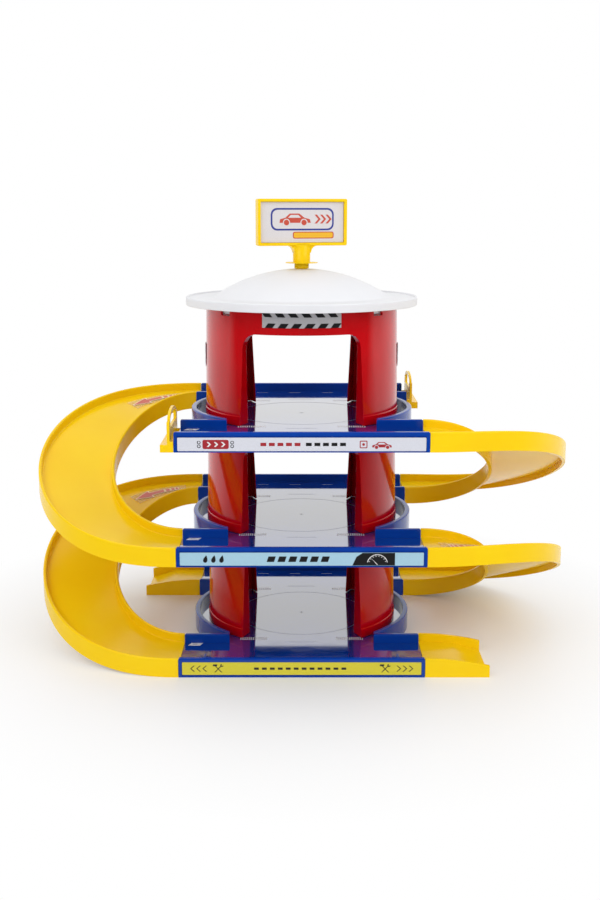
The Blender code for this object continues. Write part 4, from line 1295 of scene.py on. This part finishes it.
def lowerPrints():
    right = rowOf(chevron, "inkBlack", 0, 3, 0.0715, 0.0046, -0.0024, 0.0026, 0.0048, 0.0009)
    left = [([(-x, z) for x, z in outline], ink, layer) for outline, ink, layer in right]
    prints = right + left
    prints += toolPrints(0.0630, "inkBlack") + toolPrints(-0.0630, "inkBlack")
    return prints + rowOf(slanted, "inkBlack", 0, 12, -0.036, 0.0060, -0.0009, 0.0036, 0.0018, 0.0)


def signPrints():
    prints = [(roundedBox(-0.0262, -0.0064, 0.0262, 0.0112, 0.0050), "inkBlue", 0)]
    prints.append((roundedBox(-0.0248, -0.0050, 0.0248, 0.0098, 0.0040), "filmSign", 1))
    for outline, ink, layer in carPrints(-0.0190, -0.0026, 0.0022, "inkArrow", "filmSign"):
        prints.append((outline, ink, layer + 2))
    prints += rowOf(chevron, "inkArrow", 2, 3, 0.0100, 0.0046, -0.0010, 0.0032, 0.0070, 0.0020)
    prints.append((roundedBox(-0.0080, -0.0128, 0.0262, -0.0074, 0.0016), "inkArrow", 0))
    prints.append((roundedBox(-0.0072, -0.0121, 0.0254, -0.0081, 0.0012), "inkOrange", 1))
    return prints


def labelMesh(films, finish, prints, thickness):
    # The film is one outline or several, and its prints lie on its face, towards -Y at y = 0
    meshes = [withMaterial(uprightPrism("film", film, 0.0, thickness), finish) for film in films]
    for outline, ink, layer in prints:
        near = -printLook["lift"] * (layer + 1)
        meshes.append(withMaterial(uprightPrism("print", outline, near, 0.0), ink))
    return merged("label", meshes)


def makeFasciaLabels():
    designs = {
        "lower": (lowerPrints(), "filmYellow", "yellow_label"),
        "middle": (middlePrints(), "filmBlue", "light_blue_label"),
        "upper": (upperPrints(), "filmPale", "pale_label"),
    }
    for tier, (prints, finish, slotName) in designs.items():
        node = "fascia_label_" + tier
        low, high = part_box(node + "_front")
        half, rise = (high.x - low.x) / 2, (high.z - low.z) / 2
        film = roundedBox(-half, -rise, half, rise, printLook["corner"])
        mesh = labelMesh([film], finish, prints, high.y - low.y)
        place = Matrix.Translation((0, low.y, (low.z + high.z) / 2))
        pairOf("label_" + node, mesh, "garage", node, place)


def makeSignFaces():
    look = signLook
    halfWidth = look["width"] / 2 - look["border"] - gap
    halfHeight = look["height"] / 2 - look["border"] - gap
    film = roundedBox(-halfWidth, -halfHeight, halfWidth, halfHeight, printLook["corner"])
    mesh = labelMesh([film], "filmSign", signPrints(), printLook["thickness"])
    faceY = look["recess"] - look["depth"] / 2 - gap - printLook["thickness"]
    turn = Matrix.Rotation(math.radians(look["turnDegrees"]), 4, "Z")
    place = turn @ Matrix.Translation((0, faceY, look["bottom"] + look["height"] / 2))
    pairOf("label_sign_face", mesh, "sign", "sign_face", place)


# Curved labels round the top storey

curvedLook = {
    "lintelDegrees": 22.5, "lintelPieces": 24, "stripeCount": 6, "stripeParts": 4, "stripeStart": 0.0022,
    "stripeStep": 0.0101, "stripeWidth": 0.0015, "stripeHeight": 0.0034, "stripeLean": 0.0026,
    "sideDegrees": 7.5, "sidePieces": 8,
}


def wrapped(mesh, radius, middle):
    # Bends a flat label about Z, so that x runs round the storey and -Y faces out
    for vert in mesh.vertices:
        angle = middle + vert.co.x / radius
        reach = radius - vert.co.y
        vert.co = (reach * math.cos(angle), reach * math.sin(angle), vert.co.z)
    return mesh


def lintelPrints(halfLength, halfHeight):
    # Slanting stripes along both edges, each in parts that follow the bend
    look = curvedLook
    prints = []
    for row in (-1, 1):
        low = row * halfHeight - (look["stripeHeight"] if row > 0 else 0.0)
        for i in range(look["stripeCount"]):
            left = -halfLength + look["stripeStart"] + i * look["stripeStep"]
            prints += rowOf(
                slanted, "inkBlack", 1, look["stripeParts"], left, look["stripeWidth"],
                low, look["stripeWidth"], look["stripeHeight"], -look["stripeLean"] * row,
            )
    return prints


def sidePrints():
    prints = [(roundedBox(-0.0070, 0.0012, 0.0070, 0.0070, 0.0012), "inkBlack", 0)]
    return prints + rowOf(slanted, "inkBlack", 0, 3, -0.0070, 0.0050, -0.0068, 0.0032, 0.0048, 0.0010)


def makeTowerLabels():
    look = curvedLook
    thickness = printLook["thickness"]
    low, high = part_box("lintel_label_front")
    radius = towerLook["topRadius"] + 2 * gap
    halfLength = math.radians(look["lintelDegrees"]) * radius
    halfHeight = (high.z - low.z) / 2
    films = strips(-halfLength, halfLength, lambda at: halfHeight, look["lintelPieces"])
    flat = labelMesh(films, "filmGrey", lintelPrints(halfLength, halfHeight), thickness)
    place = Matrix.Translation((0, 0, (low.z + high.z) / 2))
    lintel = wrapped(flat, radius + thickness, -math.pi / 2)
    pairOf("label_lintel", lintel, "garage", "lintel_label", place)
    low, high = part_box("side_label_right")
    halfLength = math.radians(look["sideDegrees"]) * high.x
    halfHeight = (high.z - low.z) / 2
    films = strips(-halfLength, halfLength, lambda at: halfHeight, look["sidePieces"])
    side = wrapped(labelMesh(films, "filmPale", sidePrints(), thickness), high.x, 0.0)
    place = Matrix.Translation((0, 0, (low.z + high.z) / 2))
    pairOf("label_side", side, "garage", "side_label", place, ("right", "left"))


# Floor, lamps and world

studioLook = {
    "floorRadius": 4.0, "floorSteps": 64, "floorColour": (0.90, 0.90, 0.905), "floorRoughness": 0.45,
    "fadeFrom": 0.12, "fadeTo": 0.34,
    "world": 0.77, "frontGloss": 0.10, "backGloss": 1.0, "glossFrom": 0.22, "glossTo": 0.45,
    "floorGlossFrom": -0.30, "floorGlossTo": 0.20, "floorGlossNear": 0.16, "floorGlossFar": 0.30,
    "lampTarget": (0, 0, 0.16),
    "lamps": (              # name, place, size, power
        ("key", (-0.9, -1.1, 1.3), 0.9, 5.8),
        ("fill", (1.1, -0.7, 0.9), 0.9, 4.5),
        ("top", (0.0, 0.3, 1.6), 1.2, 2.5),
        ("lowLeft", (-0.8, -1.0, 0.30), 0.6, 0.5),
        ("lowRight", (0.8, -1.0, 0.30), 0.6, 0.5),
    ),
}


def lightPathSum(tree, names, place):
    path = nodeOf(tree, "ShaderNodeLightPath", place)
    total = path.outputs[names[0]]
    for name in names[1:]:
        adder = nodeOf(tree, "ShaderNodeMath", (place[0] + 200, place[1]))
        adder.operation = "MAXIMUM"
        tree.links.new(total, adder.inputs[0])
        tree.links.new(path.outputs[name], adder.inputs[1])
        total = adder.outputs[0]
    return total


def mixedShaders(tree, place, factor, first, second):
    mix = nodeOf(tree, "ShaderNodeMixShader", place)
    for socket, source in zip(mix.inputs, (factor, first, second)):
        tree.links.new(source, socket)
    return mix.outputs[0]


def makeFloor():
    look = studioLook
    bm = bmesh.new()
    bmesh.ops.create_circle(bm, cap_ends=True, radius=look["floorRadius"], segments=look["floorSteps"])
    mesh = meshOf(bm, "floor")
    material, tree, shader, coordinates = newFinish("floorFinish")
    shader.inputs["Base Color"].default_value = (*look["floorColour"], 1)
    shader.inputs["Roughness"].default_value = look["floorRoughness"]
    glow = nodeOf(tree, "ShaderNodeEmission", (-100, -400), Strength=1.0)
    length = nodeOf(tree, "ShaderNodeVectorMath", (-700, -200))
    length.operation = "LENGTH"
    tree.links.new(coordinates.outputs["Object"], length.inputs[0])
    away = length.outputs["Value"]
    fade = rangeOf(tree, away, (-500, -200), look["fadeFrom"], look["fadeTo"], 0.0, 1.0)
    seen = lightPathSum(tree, ("Is Camera Ray", "Is Transmission Ray"), (-900, 200))
    white = calc(tree, "MULTIPLY", fade, seen)
    plain = mixedShaders(tree, (200, 0), white, shader.outputs[0], glow.outputs[0])
    # In the gloss the floor is dim in front and white behind, as the world is
    split = nodeOf(tree, "ShaderNodeSeparateXYZ", (-700, -600))
    tree.links.new(coordinates.outputs["Object"], split.inputs[0])
    mirror = nodeOf(tree, "ShaderNodeEmission", (200, -400))
    ends = [look[key] for key in ("floorGlossFrom", "floorGlossTo", "frontGloss", "backGloss")]
    tree.links.new(rangeOf(tree, split.outputs[1], (-400, -600), *ends), mirror.inputs["Strength"])
    far = rangeOf(tree, away, (-400, -800), look["floorGlossNear"], look["floorGlossFar"], 0.0, 1.0)
    glossy = calc(tree, "MULTIPLY", far, lightPathSum(tree, ("Is Glossy Ray",), (-900, 400)))
    finish = mixedShaders(tree, (400, 0), glossy, plain, mirror.outputs[0])
    tree.links.new(finish, tree.nodes["Material Output"].inputs["Surface"])
    mesh.materials.append(material)
    objectOf("studio_floor", mesh)


def makeLamps():
    target = Vector(studioLook["lampTarget"])
    for name, place, size, power in studioLook["lamps"]:
        data = bpy.data.lights.new(name, "AREA")
        data.size = size
        data.energy = power
        lamp = bpy.data.objects.new(name, data)
        lamp.location = place
        lamp.rotation_euler = (target - Vector(place)).to_track_quat("-Z", "Y").to_euler()
        lamp.visible_glossy = not name.startswith("low")        # they light the doorways, unmirrored
        bpy.context.scene.collection.objects.link(lamp)


def makeWorld():
    world = bpy.data.worlds.new("studio")
    bpy.context.scene.world = world
    world.use_nodes = True
    tree = world.node_tree
    plain = tree.nodes["Background"]
    white = nodeOf(tree, "ShaderNodeBackground", (0, -200), Strength=1.0)
    gloss = nodeOf(tree, "ShaderNodeBackground", (0, -500))
    for background in (plain, white, gloss):
        background.inputs["Color"].default_value = (1, 1, 1, 1)
    plain.inputs["Strength"].default_value = studioLook["world"]
    seen = lightPathSum(tree, ("Is Camera Ray", "Is Transmission Ray"), (-500, 200))
    lit = mixedShaders(tree, (200, 0), seen, plain.outputs[0], white.outputs[0])
    # What the gloss mirrors: a dim room in front, a white wall behind
    split = nodeOf(tree, "ShaderNodeSeparateXYZ", (-700, -500))
    tree.links.new(nodeOf(tree, "ShaderNodeTexCoord", (-900, -500)).outputs["Generated"], split.inputs[0])
    ends = [studioLook[key] for key in ("glossFrom", "glossTo", "frontGloss", "backGloss")]
    tree.links.new(rangeOf(tree, split.outputs[1], (-400, -500), *ends), gloss.inputs["Strength"])
    mirrored = lightPathSum(tree, ("Is Glossy Ray",), (0, 400))
    finish = mixedShaders(tree, (400, 0), mirrored, lit, gloss.outputs[0])
    tree.links.new(finish, tree.nodes["World Output"].inputs["Surface"])


makeCamera()
materials = makeMaterials()
marksInRow = rowTree()
descent = descentTree()
print("stage: camera, materials and node trees")
makeDecks()
print("stage: decks")
makeTower()
print("stage: tower")
makeRoof()
makeSign()
print("stage: roof and sign")
makeRamps()
makeLaneEnds()
print("stage: ramps and lane ends")
makeFasciaLabels()
makeSignFaces()
makeTowerLabels()
print("stage: labels")
makeFloor()
makeLamps()
makeWorld()
bpy.context.scene.view_settings.view_transform = "Standard"
print("stage: studio")
